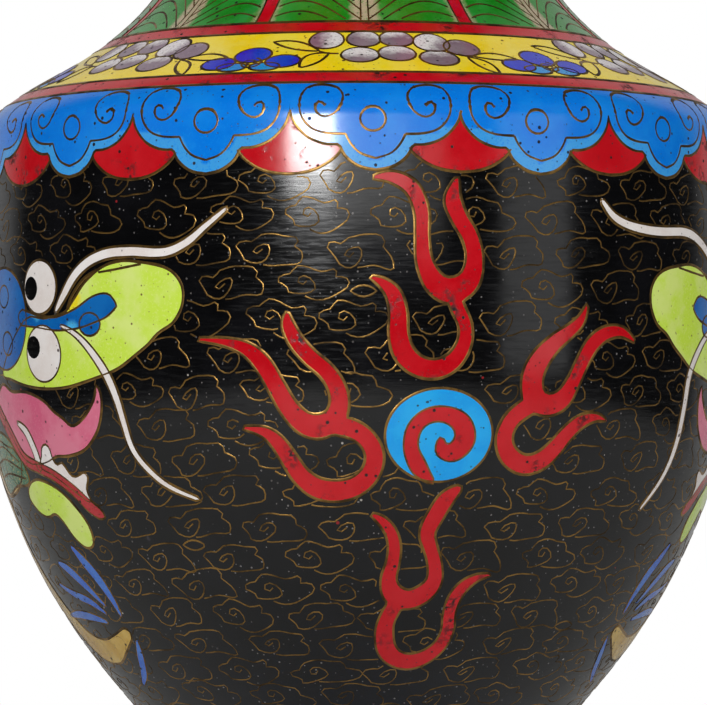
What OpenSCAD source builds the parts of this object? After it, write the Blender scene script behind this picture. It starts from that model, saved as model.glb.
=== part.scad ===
// Cloisonne vase: a copper body in raised sections, ringed with brass and
// filled with coloured enamel cells that lie flush with one another.
// Millimetres, +Z up, origin at the centre of the foot ring's bottom face.
//
// The decoration is drawn flat: u runs round the vase to the right, measured
// at the widest line, and v runs up the wall from the widest line. Both are
// wrapped onto the wall, so the drawing follows a change of shape.

/* [Outer shape] */
// Diameter of the foot ring
foot_d = 86; // [70:0.5:106]
// Height of the narrow waist above the floor
waist_rise = 28; // [23:0.5:34]
// Diameter of the waist
waist_d = 66; // [54:0.5:80]
// Rise from the waist to the widest line
belly_rise = 114; // [94:1:138]
// Diameter at the widest line
belly_d = 147.2; // [122:0.2:178]
// Rise from the widest line to the edge of the shoulder
shoulder_rise = 26; // [21:0.5:32]
// Rise from the edge of the shoulder to the root of the neck
slope_rise = 27; // [22:0.5:33]
// Diameter at the root of the neck
neck_root_d = 79.4; // [66:0.2:96]
// Rise from the root of the neck to its narrowest line
neck_rise = 22; // [18:0.5:27]
// Diameter of the narrowest line of the neck
neck_d = 64.8; // [54:0.2:78]
// Rise from the narrowest line to the top of the wall
mouth_rise = 39.5; // [32:0.5:48]
// Diameter of the mouth
mouth_d = 95; // [79:0.5:114]

/* [Walls] */
// Thickness of the copper wall
copper_t = 1.0; // [0.8:0.1:1.3]
// Depth of the coloured enamel, and of the wires that part it
enamel_t = 1.1; // [0.9:0.1:1.4]
// Thickness of the plain enamel that lines the inside
lining_t = 0.5; // [0.4:0.1:0.7]
// Thickness of the bottom plate
plate_t = 1.6; // [1.4:0.1:2.2]
// Width of the brass wires that ring the vase
ring_wire_w = 0.8; // [0.6:0.1:1.1]
// How far the brass stands out of the enamel
brass_proud = 0.1; // [0.05:0.05:0.2]
// Width of the bare brass band at the foot
foot_rim_w = 4; // [3:0.5:6]

/* [Bands] */
// Lower band of lotus petals
petal_band_w = 18; // [15:0.5:21]
// Thin red band above the foot band
waist_band_w = 5; // [4:0.5:7]
// Distance up the wall from the widest line to the collar wire
collar_line = 32.3; // [30:0.1:34]
// Width of the blue collar over the lappets
collar_w = 1.8; // [1.4:0.1:2.4]
// Width of each red band beside the flowers
red_band_w = 3.7; // [3:0.1:4.6]
// Width of the yellow flower band
flower_band_w = 16.4; // [14:0.2:19]
// Width of the band under the mouth
lip_band_w = 8; // [6.5:0.5:10]
// Number of lappets round the shoulder
lappet_count = 15; // [12:1:18]
// Number of plantain leaves round the neck
leaf_count = 8; // [6:1:10]
// Number of lotus petals round the lower body
petal_count = 18; // [14:1:22]
// Number of flower sprays round the flower band
spray_count = 7; // [5:1:8]

/* [Hidden] */

// ---- the wall's curve ----

waist_z = waist_rise;
belly_z = waist_z + belly_rise;
shoulder_z = belly_z + shoulder_rise;
neck_root_z = shoulder_z + slope_rise;
neck_z = neck_root_z + neck_rise;
wall_top_z = neck_z + mouth_rise;

// Knots of the wall: height, radius and lean (radius gained per height).
stem_rise = 32;
stem_out = 12.8;
stem_lean = 0.86;
flank_drop = 44;
flank_in = 5.5;
flank_lean = 0.35;
shoulder_in = 1.0;
shoulder_lean = -0.08;
slope_share = 0.456;
slope_drop = 12;
slope_lean = -1.73;
neck_root_lean = -0.75;
mouth_lean = 0.6;
shoulder_r = belly_d / 2 - shoulder_in;
wall_knots = [
    [0, foot_d / 2, 0],
    [waist_z, waist_d / 2, 0],
    [waist_z + stem_rise, waist_d / 2 + stem_out, stem_lean],
    [belly_z - flank_drop, belly_d / 2 - flank_in, flank_lean],
    [belly_z, belly_d / 2, 0],
    [shoulder_z, shoulder_r, shoulder_lean],
    [shoulder_z + slope_drop, shoulder_r - slope_share * (shoulder_r - neck_root_d / 2), slope_lean],
    [neck_root_z, neck_root_d / 2, neck_root_lean],
    [neck_z, neck_d / 2, 0],
    [wall_top_z, mouth_d / 2, mouth_lean]
];

function knot_below(z, i = 0) =
    (i >= len(wall_knots) - 2 || wall_knots[i + 1][0] > z) ? i : knot_below(z, i + 1);

function wall_r(z) =
    let (i = knot_below(z), a = wall_knots[i], b = wall_knots[i + 1])
    let (h = b[0] - a[0], t = (z - a[0]) / h)
    (1 + 2 * t) * (1 - t) * (1 - t) * a[1] + t * (1 - t) * (1 - t) * h * a[2]
    + t * t * (3 - 2 * t) * b[1] + t * t * (t - 1) * h * b[2];

function wall_lean(z) = (wall_r(z + 0.05) - wall_r(z - 0.05)) / 0.1;

// A point at a depth behind the wall's outer face, square to the wall.
function behind(z, depth) =
    let (lean = z < 0.1 ? 0 : wall_lean(z), n = norm([1, lean]))
    [wall_r(z) - depth / n, z + depth * lean / n];

// ---- lengths along the wall ----

arc_steps = 260;
arc_step = wall_top_z / arc_steps;
arc_from_foot = [
    for (i = 0, s = 0; i <= arc_steps;
         s = s + norm([arc_step, wall_r((i + 1) * arc_step) - wall_r(i * arc_step)]), i = i + 1) s
];
arc_of_height = [for (i = [0:arc_steps]) [i * arc_step, arc_from_foot[i]]];
height_of_arc = [for (i = [0:arc_steps]) [arc_from_foot[i], i * arc_step]];
belly_arc = lookup(belly_z, arc_of_height);

function height_at(v) = lookup(v + belly_arc, height_of_arc);
function along(z) = lookup(z, arc_of_height) - belly_arc;

// ---- the bands' edges, from the foot up ----

half_ring = ring_wire_w / 2;
seam_z = waist_z - half_ring;
petal_low = waist_z + half_ring;
floor_z = seam_z + plate_t;
waist_wire_v = along(waist_z) - waist_band_w;
petal_wire_v = along(waist_z) + petal_band_w;
flower_low_v = collar_line + red_band_w;
flower_high_v = flower_low_v + flower_band_w;
leaf_line = flower_high_v + red_band_w;
lip_line = along(wall_top_z) - lip_band_w;

waist_wire_low = height_at(waist_wire_v - half_ring);
waist_wire_high = height_at(waist_wire_v + half_ring);
petal_wire_low = height_at(petal_wire_v - half_ring);
petal_wire_high = height_at(petal_wire_v + half_ring);
collar_low = height_at(collar_line - half_ring - collar_w);
collar_wire_low = height_at(collar_line - half_ring);
collar_wire_high = height_at(collar_line + half_ring);
flower_wire_low = height_at(flower_low_v - half_ring);
flower_wire_high = height_at(flower_low_v + half_ring);
flower_top_low = height_at(flower_high_v - half_ring);
flower_top_high = height_at(flower_high_v + half_ring);
leaf_wire_low = height_at(leaf_line - half_ring);
leaf_wire_high = height_at(leaf_line + half_ring);
lip_wire_low = height_at(lip_line - half_ring);
lip_wire_high = height_at(lip_line + half_ring);

edges = [
    0, foot_rim_w, waist_wire_low, waist_wire_high, seam_z, petal_low, floor_z,
    petal_wire_low, petal_wire_high, belly_z, collar_low, collar_wire_low,
    collar_wire_high, flower_wire_low, flower_wire_high, flower_top_low,
    flower_top_high, leaf_wire_low, leaf_wire_high, lip_wire_low,
    lip_wire_high, wall_top_z
];

// One list of heights for every shell, so that neighbours share their faces.
ring_step = 6;
grid = [
    for (i = [0:len(edges) - 2])
        let (n = ceil((edges[i + 1] - edges[i]) / ring_step))
            each [for (k = [0:n - 1]) edges[i] + (edges[i + 1] - edges[i]) * k / n],
    wall_top_z
];
tiny = 0.001;
function rings(low, high) = [for (z = grid) if (z > low - tiny && z < high + tiny) z];

lining_depth = enamel_t + copper_t;
inner_depth = lining_depth + lining_t;
round_fn = 96;

// A revolved shell between two heights and two depths behind the outer face.
module shell(low, high, outer, inner) {
    zs = rings(low, high);
    rotate_extrude($fn = round_fn)
        polygon(concat(
            [for (z = zs) behind(z, outer)],
            [for (i = [len(zs) - 1:-1:0]) behind(zs[i], inner)]
        ));
}

// ---- drawing on the wall ----

pattern_w = 462;
half_way = pattern_w / 2;
stroke_steps = 2;

function turn(u) = u * 360 / pattern_w;

// A smooth open curve through points of any number of values.
function smooth(p, n = stroke_steps) = [
    for (i = [0:len(p) - 2])
        let (a = p[max(i - 1, 0)], b = p[i], c = p[i + 1], d = p[min(i + 2, len(p) - 1)])
            each [
                for (k = [0:n - 1])
                    let (t = k / n)
                        (2 * b + (c - a) * t + (2 * a - 5 * b + 4 * c - d) * t * t
                         + (3 * b - a - 3 * c + d) * t * t * t) / 2
            ],
    p[len(p) - 1]
];

function sideways(p, i) =
    let (a = p[max(i - 1, 0)], b = p[min(i + 1, len(p) - 1)])
    let (d = [b[0] - a[0], b[1] - a[1]])
    [-d[1], d[0]] / norm(d);

// The outline of a tapering stroke whose points are [u, v, width].
function stroke(points) =
    let (p = smooth(points), m = len(p) - 1)
    concat(
        [for (i = [0:m]) [p[i][0], p[i][1]] + sideways(p, i) * p[i][2] / 2],
        [for (i = [m:-1:0]) [p[i][0], p[i][1]] - sideways(p, i) * p[i][2] / 2]
    );

function oval(u, v, half_w, half_h, n = 24) =
    [for (i = [0:n - 1]) [u + half_w * cos(i * 360 / n), v + half_h * sin(i * 360 / n)]];

function moved(points, du) = [for (p = points) concat([p[0] + du], [for (k = [1:len(p) - 1]) p[k]])];
function mirrored(points, sum) = [for (p = points) concat([sum - p[0]], [for (k = [1:len(p) - 1]) p[k]])];

// The column behind an outline, looking square at the wall at u = facing.
module side_column(outline, facing) {
    rotate([0, 0, turn(facing)])
        rotate([90, 0, 0])
            linear_extrude(height = belly_d)
                polygon([
                    for (p = outline)
                        let (z = height_at(p[1]))
                            [wall_r(z) * sin(turn(p[0] - facing)), z]
                ]);
}

// The column over an outline on the sloping shoulder, seen from above.
module top_column(outline) {
    translate([0, 0, shoulder_z])
        linear_extrude(height = slope_rise)
            polygon([
                for (p = outline)
                    let (r = wall_r(height_at(p[1])))
                        [r * sin(turn(p[0])), -r * cos(turn(p[0]))]
            ]);
}

module side_columns(outlines, facing) {
    for (outline = outlines) side_column(outline, facing);
}

function lowest(outlines) = min([for (o = outlines) each [for (p = o) p[1]]]);
function highest(outlines) = max([for (o = outlines) each [for (p = o) p[1]]]);

// The stretch of the black ground's shell that holds some outlines.
module ground_slice(outlines) {
    shell(
        max(petal_wire_high, height_at(lowest(outlines)) - 2 * ring_step),
        min(collar_low, height_at(highest(outlines)) + 2 * ring_step),
        0, enamel_t
    );
}

// Enamel laid in the black ground inside some outlines.
module inlay(outlines, facing) {
    intersection() {
        ground_slice(outlines);
        side_columns(outlines, facing);
    }
}

// ---- figures: the pearl and its four flames ----

pearl_u = 15;
pearl_v = -31.6;
pearl_w = 20;
pearl_h = 16.8;
pearl_outline = oval(pearl_u, pearl_v, pearl_w / 2, pearl_h / 2);

// Each flame is two forked strokes: [u, v, width].
flame_top = [
    [[2.8, 13.9, 0.8], [6.2, 13.9, 2.2], [9.6, 12, 2.8], [11.3, 8, 2.7], [11.4, 3.5, 2.5],
     [11.8, -1, 3], [13.8, -4.8, 4], [16.8, -6, 4.6], [19.9, -4.2, 4], [20.9, -0.3, 3.2],
     [20, 3.6, 3.1], [18, 7, 3.1], [16.9, 10.2, 3.1], [17.8, 13.9, 0.8]],
    [[2.3, -3.6, 0.6], [4.3, -4.6, 1.8], [6.3, -6.6, 2.8], [7.2, -10, 3.2], [7.2, -13.5, 3.5],
     [8.2, -17, 3.8], [10.8, -19.3, 3.6], [14.2, -19.8, 3.4], [17.2, -18.3, 3.1],
     [19.1, -15.2, 2.7], [19.2, -12, 2.5], [18, -9.4, 2.6], [17, -7, 2.6]]
];
flame_left = [
    [[-29, -14.5, 0.6], [-24, -15, 1.5], [-20, -16.2, 2.5], [-17, -18.8, 3.2],
     [-14.6, -22.8, 3.3], [-12.4, -26.6, 3.5], [-9.8, -29.3, 4], [-7, -30, 4.4],
     [-4.4, -28.8, 3.9], [-3.2, -26, 3.5], [-3.7, -23, 3.2], [-5.5, -20.2, 3],
     [-8.3, -17.8, 2.9], [-10.8, -15, 2.8], [-12.3, -12, 2.3], [-12.4, -9.8, 0.8]],
    [[-21, -30.2, 0.6], [-17, -31, 2], [-14.5, -33, 2.8], [-12.5, -36, 3.2], [-10.5, -39, 3.5],
     [-7.5, -41.2, 3.9], [-3.5, -41.7, 3.9], [0.2, -40.6, 3.6], [2.6, -38, 3.5],
     [3.1, -34.8, 3.4], [1.5, -32, 3.3], [-1, -30.4, 3.4], [-4, -29.8, 3.4]]
];
flame_right = [
    [[43.6, -8.2, 0.6], [42.2, -11, 1.9], [39.8, -13, 2.5], [36.8, -15, 3.1],
     [34, -17.8, 3.9], [32.4, -21, 4.3], [32.8, -24.6, 4.4], [35.5, -26.2, 4],
     [38.8, -25.2, 3.7], [41, -22, 3], [42.8, -18.5, 2.9], [45, -15.2, 3],
     [48, -13.3, 2.6], [51.5, -12.9, 2], [54, -13.9, 1.2], [55.4, -14.8, 0.5]],
    [[32.5, -26, 3.4], [28.8, -28.6, 3.2], [27.4, -32, 3.3], [28.6, -35.2, 3.6],
     [31.8, -37, 3.6], [35.2, -36.4, 3.6], [38, -34.2, 3.4], [40.4, -31.5, 3],
     [43.2, -29.3, 2.6], [46.6, -28.4, 1.6], [49.4, -29, 0.5]]
];
flame_bottom = [
    [[2.8, -46.1, 0.8], [4.7, -47.3, 1.8], [6.5, -49.4, 2.3], [7.4, -52.3, 2.6],
     [7.2, -55.7, 2.8], [6.5, -59, 3.3], [7.6, -61.9, 4.2], [10.9, -63.2, 4],
     [14.3, -61.9, 4], [16.3, -59.4, 3.4], [15.9, -55.7, 2.9], [14.8, -52.8, 2.8],
     [13.8, -49.8, 3.2], [15.1, -46.5, 3.4], [17, -43.3, 3.2], [19.3, -41.2, 1.6]],
    [[8.6, -63.6, 3.4], [6.7, -67.3, 3.6], [6.2, -70.3, 4.2], [7, -74, 4.4],
     [9.7, -76.3, 3.8], [13.4, -76.9, 3.6], [17.2, -75.7, 3.4], [20.1, -73.2, 3.2],
     [21.2, -69.8, 3.1], [20.8, -66.5, 2.9], [21.3, -63.2, 3], [23, -60.5, 2.6],
     [25.7, -58.8, 1.6], [28.7, -58.2, 0.5]]
];

function outlines_of(strokes) = [for (s = strokes) stroke(s)];
function all_moved(strokes, du) = [for (s = strokes) moved(s, du)];
function all_mirrored(strokes, sum) = [for (s = strokes) mirrored(s, sum)];

module flame(strokes, du) {
    inlay(outlines_of(all_moved(strokes, du)), pearl_u + du);
}

// ---- figures: the dragons, drawn for the left one ----

head_sum = 27.6;
leg_sum = 13;
left_facing = -60;
body_facing = -128;
leg_facing = -105;
eye_outlines = [oval(-67.2, -4.6, 5.3, 4.9), oval(-66.6, -16.8, 5.6, 5.2)];
brow_outlines = [
    oval(-82, -10.2, 9.9, 9.5),
    stroke([[-74, -10, 3], [-68, -10.9, 2.2], [-62, -11.4, 2.4], [-56, -10.5, 3.6],
            [-51.5, -8.9, 4.8], [-48.8, -8.2, 4.9], [-46.6, -8.2, 2.6]]),
    oval(-52.8, -11.6, 2.5, 2.4)
];
head_outlines = [
    [[-84, -20], [-80, -21.4], [-73, -22.7], [-66, -23.2], [-59, -22.8], [-52, -21.3],
     [-46.5, -19.7], [-42.5, -17.4], [-39.3, -15.3], [-37, -13.2], [-34, -11.5],
     [-32.2, -8.6], [-32, -5.4], [-33.5, -3], [-36, -1.6], [-39.5, -0.9], [-44.8, -0.4],
     [-49.5, -1.4], [-54, -4.2], [-57.5, -7.8], [-60, -9.6], [-66, -10.4], [-73, -10.6]],
    [[-82.2, -44.2], [-80.4, -41.8], [-75.8, -40.5], [-70.4, -41.4], [-65.8, -43.7],
     [-62.6, -46.9], [-61.1, -49.8], [-61.7, -52.8], [-64.5, -53.7], [-67.6, -51.9],
     [-69.9, -48.7], [-72.2, -47.1], [-75.8, -47.8], [-79.5, -46.9]]
];
tongue_outlines = [
    [[-85, -22.4], [-80.4, -23.8], [-74, -23.9], [-68, -25.4], [-64.9, -27.4], [-62.2, -28.7],
     [-59.9, -30.1], [-57.6, -29.6], [-54.9, -27.8], [-52.6, -25.1], [-51.7, -22.6],
     [-50.8, -25.1], [-51.5, -28.7], [-53.5, -31.9], [-57.2, -34.6], [-62.2, -35.7],
     [-66, -35.8], [-71, -37.2], [-78.5, -36.9], [-84, -31.5], [-89, -26.4]]
];
lip_outlines = [
    stroke([[-90, -26.5, 2.5], [-84.5, -31.5, 2.6], [-79.5, -36.4, 2.4], [-74, -38, 2.2],
            [-68.5, -39.5, 2.2], [-63, -42.2, 2.3], [-59, -45.3, 2.6], [-56.2, -46.9, 2]])
];
tooth_outlines = [
    stroke([[-79.5, -29.6, 0.8], [-76, -31.4, 1.8], [-73.8, -35, 2], [-73.2, -38, 2.2]]),
    [[-73, -38], [-71.5, -36], [-70.2, -34.3], [-68.4, -34.2], [-67.4, -36], [-66.6, -37.4],
     [-64, -36.8], [-62.6, -38.6], [-61.8, -40.2], [-58.4, -39.2], [-57.5, -39.4],
     [-58.6, -42], [-58.4, -44.6], [-63, -42.2], [-68.5, -39.5]]
];
left_whisker_outlines = [
    stroke([[-62.2, -9.2, 0.8], [-59.9, -6.5, 1.6], [-56.7, -2.8, 1.8], [-53.1, -0.4, 1.8],
            [-48.5, 1, 1.8], [-43.1, 1.3, 1.8], [-35.8, 1, 1.7], [-31.3, 2.6, 1.5],
            [-27.6, 5.4, 1.2], [-23.5, 8.6, 0.8]]),
    stroke([[-60.8, -11.7, 0.6], [-56.7, -13.3, 1], [-53.1, -16, 1.4], [-49.5, -20.1, 1.7],
            [-47.2, -24.6, 1.6], [-45.8, -29.6, 1.4], [-44.5, -34.2, 1.3],
            [-41.7, -37.8, 1.2], [-37.6, -41, 1.1], [-31.3, -43.5, 0.7]])
];
right_whisker_outlines = [
    stroke([[47, 10.6, 0.9], [50, 7.6, 1.5], [55, 6, 1.7], [62, 5.4, 1.8], [70, 5.6, 1.8],
            [75, 4.6, 1.8], [80, 2, 1.8], [84.4, -2.2, 1.8], [88.5, -7.2, 0.8]]),
    stroke([[88.4, -11.7, 0.6], [80.8, -13, 1.2], [76.2, -16.5, 1.6], [73.3, -21, 1.7],
            [72.5, -27, 1.7], [71.5, -34, 1.6], [69, -40, 1.3], [64, -46, 0.8]])
];
body_outlines = [
    stroke([[-84, -37.5, 6], [-91, -38.5, 10], [-101, -37, 13], [-109, -26, 14.5],
            [-115, -10, 15], [-125, 1, 14], [-136, -2, 13], [-142, -16, 12],
            [-145, -34, 11], [-153, -49, 9.5], [-163, -53, 7.5], [-170, -46, 5],
            [-172, -36, 2.5]])
];
leg_outlines = [
    stroke([[-106, -46, 9], [-104, -58, 9], [-97, -68, 8], [-88, -75.5, 7], [-78, -77, 5.6],
            [-70, -74.8, 4], [-63.5, -72, 2.6]]),
    stroke([[-142, -38, 8], [-134, -50, 8], [-131, -62, 7], [-123, -70, 6], [-113, -72, 3.5]])
];
mane_outlines = [
    stroke([[-70.5, -53.6, 0.9], [-68, -56.4, 2.4], [-65, -60, 2.9], [-63, -64.5, 2], [-62.6, -68, 0.8]]),
    stroke([[-80, -57.4, 1], [-76, -58.8, 2.4], [-71.4, -62, 2.2], [-67, -66, 0.8]]),
    stroke([[-86.5, -62.2, 0.8], [-80, -64, 1.7], [-73, -65.4, 1.9], [-68.4, -67.7, 0.8]]),
    stroke([[-92, -69.4, 0.8], [-84, -68.8, 1.8], [-76, -69, 1.8], [-70, -69.8, 0.8]]),
    stroke([[-61.4, -73.6, 0.8], [-63.4, -77, 2], [-67, -81.4, 2], [-71.6, -84.6, 0.8]]),
    stroke([[-173.5, -38, 3], [-176, -33, 3.6], [-175, -28, 2.4], [-172, -24, 0.8]])
];

// side is -1 for the left dragon and 1 for the right one, its mirror image.
function on_side(outlines, side, sum) = side < 0 ? outlines : all_mirrored(outlines, sum);
function facing_of(side) = side < 0 ? left_facing : head_sum - left_facing;
function body_facing_of(side) = side < 0 ? body_facing : head_sum - body_facing;
function leg_facing_of(side) = side < 0 ? leg_facing : leg_sum - leg_facing;
function whiskers_of(side) = side < 0 ? left_whisker_outlines : right_whisker_outlines;
function whites_of(side) =
    concat(on_side(concat(eye_outlines, tooth_outlines), side, head_sum), whiskers_of(side));

module dragon_lip(side) {
    inlay(on_side(lip_outlines, side, head_sum), facing_of(side));
}

module dragon_whites(side) {
    difference() {
        inlay(whites_of(side), facing_of(side));
        side_columns(on_side(lip_outlines, side, head_sum), facing_of(side));
    }
}

module dragon_brow(side) {
    difference() {
        inlay(on_side(brow_outlines, side, head_sum), facing_of(side));
        side_columns(whites_of(side), facing_of(side));
    }
}

module dragon_head(side) {
    difference() {
        inlay(on_side(head_outlines, side, head_sum), facing_of(side));
        side_columns(whites_of(side), facing_of(side));
        side_columns(on_side(concat(brow_outlines, lip_outlines), side, head_sum), facing_of(side));
    }
}

module dragon_tongue(side) {
    difference() {
        inlay(on_side(tongue_outlines, side, head_sum), facing_of(side));
        side_columns(whites_of(side), facing_of(side));
        side_columns(on_side(concat(head_outlines, lip_outlines), side, head_sum), facing_of(side));
    }
}

module dragon_body(side) {
    difference() {
        inlay(on_side(body_outlines, side, head_sum), body_facing_of(side));
        side_columns(
            on_side(concat(head_outlines, tongue_outlines, lip_outlines), side, head_sum),
            facing_of(side)
        );
    }
}

module dragon_legs(side) {
    difference() {
        inlay(on_side(leg_outlines, side, leg_sum), leg_facing_of(side));
        side_columns(on_side(body_outlines, side, head_sum), body_facing_of(side));
        side_columns(on_side(mane_outlines, side, leg_sum), leg_facing_of(side));
    }
}

module dragon_mane(side) {
    inlay(on_side(mane_outlines, side, leg_sum), leg_facing_of(side));
}

// Everything of one dragon that is let into the black ground.
module dragon_columns(side) {
    side_columns(
        concat(
            whites_of(side),
            on_side(concat(brow_outlines, head_outlines, tongue_outlines, lip_outlines), side, head_sum)
        ),
        facing_of(side)
    );
    side_columns(on_side(body_outlines, side, head_sum), body_facing_of(side));
    side_columns(on_side(concat(leg_outlines, mane_outlines), side, leg_sum), leg_facing_of(side));
}

// ---- lappets and scallops round the shoulder ----

lappet_pitch = pattern_w / lappet_count;
lappet_u = 3.2;
lappet_v = collar_line - 8.3;
collar_v = collar_line - half_ring - collar_w;
half_lappet = [
    [lappet_pitch / 2, 1.6], [lappet_pitch / 2 - 0.8, -0.6], [12.3, -3.1], [9.2, -4.4], [6.4, -4.6],
    [5.4, -6.6], [2.9, -8.4], [0, -9]
];
scallop_half = [[10.4, 0], [9.4, -5], [6.6, -7.6], [3.4, -8.9], [0, -9.3]];

function both_halves(half) =
    concat(half, [for (i = [len(half) - 2:-1:0]) [-half[i][0], half[i][1]]]);
function lappet_outline(u) = concat(
    [[u + lappet_pitch / 2, collar_v + 0.5]],
    [for (p = both_halves(half_lappet)) [u + p[0], lappet_v + p[1]]],
    [[u - lappet_pitch / 2, collar_v + 0.5]]
);
function scallop_outline(u) = concat(
    [[u + scallop_half[0][0], collar_v - 4]],
    [for (p = both_halves(scallop_half)) [u + p[0], lappet_v + p[1]]],
    [[u - scallop_half[0][0], collar_v - 4]]
);
function lappet_place(i) = lappet_u + i * lappet_pitch;
function scallop_place(i) = lappet_place(i) + lappet_pitch / 2;

module lappet_shell() {
    shell(height_at(lappet_v - 9.4) - ring_step, collar_low, 0, enamel_t);
}

// ---- flower sprays, leaves and petals ----

spray_pitch = pattern_w / spray_count;
spray_u = 9;
petal_sides = 12;
mauve_petals = [
    [-16.5, 49.1, 4.2, 3.4], [-7.5, 49.5, 4, 3], [0.5, 49.6, 4.2, 2.8], [8.9, 48.2, 4.4, 3.6],
    [15.7, 46.4, 4.3, 3.2], [-8.4, 42.9, 4.2, 3], [-0.2, 43.6, 4.2, 3.1], [8.9, 41.8, 4.2, 3]
];
blue_petals = [[-32.5, 43.3, 4.2, 3.1], [-39.3, 40, 3.8, 2.4], [-25, 40.5, 3.8, 2.4], [-31.7, 39.6, 5, 2.2]];

module flowers(petals) {
    intersection() {
        shell(flower_wire_high, flower_top_low, 0, enamel_t);
        flower_columns(petals);
    }
}

module flower_columns(petals) {
    for (i = [0:spray_count - 1])
        for (p = petals)
            top_column(oval(spray_u + i * spray_pitch + p[0], p[1], p[2], p[3], petal_sides));
}

leaf_pitch = pattern_w / leaf_count;
leaf_u = 2;
wedge_w = 4;
leaf_half_w = (leaf_pitch - wedge_w) / 2;
leaf_top_v = lip_line - 6;
leaf_low_v = leaf_line + half_ring;
function leaf_outline(u) = concat(
    [for (t = [0:0.125:1])
        [u + leaf_half_w * pow(cos(90 * t), 0.6), leaf_low_v - 1 + t * (leaf_top_v - leaf_low_v + 1)]],
    [for (t = [0.875:-0.125:0])
        [u - leaf_half_w * pow(cos(90 * t), 0.6), leaf_low_v - 1 + t * (leaf_top_v - leaf_low_v + 1)]]
);

petal_pitch = pattern_w / petal_count;
petal_gap = 0.8;
petal_base_v = petal_wire_v + half_ring;
petal_tip_v = along(petal_low) + 1.4;
function petal_outline(u) = concat(
    [for (t = [0:0.25:1])
        [u + (petal_pitch / 2 - petal_gap / 2) * pow(cos(90 * t), 0.5), petal_base_v + t * (petal_tip_v - petal_base_v)]],
    [for (t = [0.75:-0.25:0])
        [u - (petal_pitch / 2 - petal_gap / 2) * pow(cos(90 * t), 0.5), petal_base_v + t * (petal_tip_v - petal_base_v)]]
);

// ---- copper ----

copper = "#B06A45";
brass = "#C9A24A";

module copper_foot() {
    color(copper) shell(foot_rim_w, seam_z, enamel_t, lining_depth);
}

module copper_lower_body() {
    color(copper) shell(seam_z, belly_z, enamel_t, lining_depth);
}

module copper_upper_body() {
    color(copper) shell(belly_z, leaf_wire_high, enamel_t, lining_depth);
}

module copper_neck() {
    color(copper) shell(leaf_wire_high, wall_top_z, enamel_t, lining_depth);
}

plate_r = behind(waist_z, lining_depth)[0];

module bottom_plate() {
    color(copper)
        translate([0, 0, seam_z])
            cylinder(r = plate_r, h = plate_t, $fn = round_fn);
}

// ---- brass ----

module foot_rim() {
    color(brass) shell(0, foot_rim_w, -brass_proud, lining_depth);
}

// A rolled bead over the wall's top edge.
module mouth_rim() {
    lean = wall_lean(wall_top_z - 0.05);
    out = [1, -lean] / norm([1, lean]);
    up = [lean, 1] / norm([1, lean]);
    middle = behind(wall_top_z, inner_depth / 2);
    bead_r = inner_depth / 2 + brass_proud;
    color(brass)
        rotate_extrude($fn = round_fn)
            polygon([for (a = [0:15:180]) middle + bead_r * (cos(a) * out + sin(a) * up)]);
}

module ring_wire(low, high) {
    color(brass) shell(low, high, -brass_proud, enamel_t);
}

module waist_wire() { ring_wire(waist_wire_low, waist_wire_high); }
module petal_lower_wire() { ring_wire(seam_z, petal_low); }
module petal_upper_wire() { ring_wire(petal_wire_low, petal_wire_high); }
module collar_wire() { ring_wire(collar_wire_low, collar_wire_high); }
module flower_lower_wire() { ring_wire(flower_wire_low, flower_wire_high); }
module flower_upper_wire() { ring_wire(flower_top_low, flower_top_high); }
module leaf_wire() { ring_wire(leaf_wire_low, leaf_wire_high); }
module lip_wire() { ring_wire(lip_wire_low, lip_wire_high); }

// ---- plain enamel ----

// The lining runs from the floor of the vase to the top of the wall.
module inner_enamel() {
    zs = rings(floor_z, wall_top_z);
    floor_top = floor_z + lining_t;
    inner = [for (z = zs) if (behind(z, inner_depth)[1] > floor_top + tiny) behind(z, inner_depth)];
    color("#3F8FA8")
        rotate_extrude($fn = round_fn)
            polygon(concat(
                [[0, floor_z]],
                [for (z = zs) behind(z, lining_depth)],
                [for (i = [len(inner) - 1:-1:0]) inner[i]],
                [[inner[0][0], floor_top], [0, floor_top]]
            ));
}

module base_enamel() {
    color("#3F8FA8")
        translate([0, 0, seam_z - enamel_t])
            cylinder(r = behind(seam_z, lining_depth)[0], h = enamel_t, $fn = round_fn);
}

module foot_band() {
    color("#1A78C8") shell(foot_rim_w, waist_wire_low, 0, enamel_t);
}

module waist_band() {
    color("#C01A20") shell(waist_wire_high, seam_z, 0, enamel_t);
}

module petal_ground() {
    color("#C01A20")
        difference() {
            shell(petal_low, petal_wire_low, 0, enamel_t);
            petal_columns();
        }
}

module petal_columns() {
    for (i = [0:petal_count - 1]) side_column(petal_outline(i * petal_pitch), i * petal_pitch);
}

module lotus_petals() {
    color("#1A78C8")
        intersection() {
            shell(petal_low, petal_wire_low, 0, enamel_t);
            petal_columns();
        }
}

module body_ground() {
    color("#101014")
        difference() {
            shell(petal_wire_high, collar_low, 0, enamel_t);
            for (i = [0:lappet_count - 1]) {
                side_column(lappet_outline(lappet_place(i)), lappet_place(i));
                side_column(scallop_outline(scallop_place(i)), scallop_place(i));
            }
            for (du = [0, half_way]) {
                side_column(moved(pearl_outline, du), pearl_u + du);
                for (f = [flame_top, flame_left, flame_right, flame_bottom])
                    side_columns(outlines_of(all_moved(f, du)), pearl_u + du);
            }
            dragon_columns(-1);
            dragon_columns(1);
        }
}

module blue_collar() {
    color("#0E7FDC") shell(collar_low, collar_wire_low, 0, enamel_t);
}

module ruyi_lappets() {
    color("#0E7FDC")
        intersection() {
            lappet_shell();
            for (i = [0:lappet_count - 1]) side_column(lappet_outline(lappet_place(i)), lappet_place(i));
        }
}

module red_scallops() {
    color("#C01A20")
        difference() {
            intersection() {
                lappet_shell();
                for (i = [0:lappet_count - 1])
                    side_column(scallop_outline(scallop_place(i)), scallop_place(i));
            }
            for (i = [0:lappet_count - 1]) side_column(lappet_outline(lappet_place(i)), lappet_place(i));
        }
}

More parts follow.
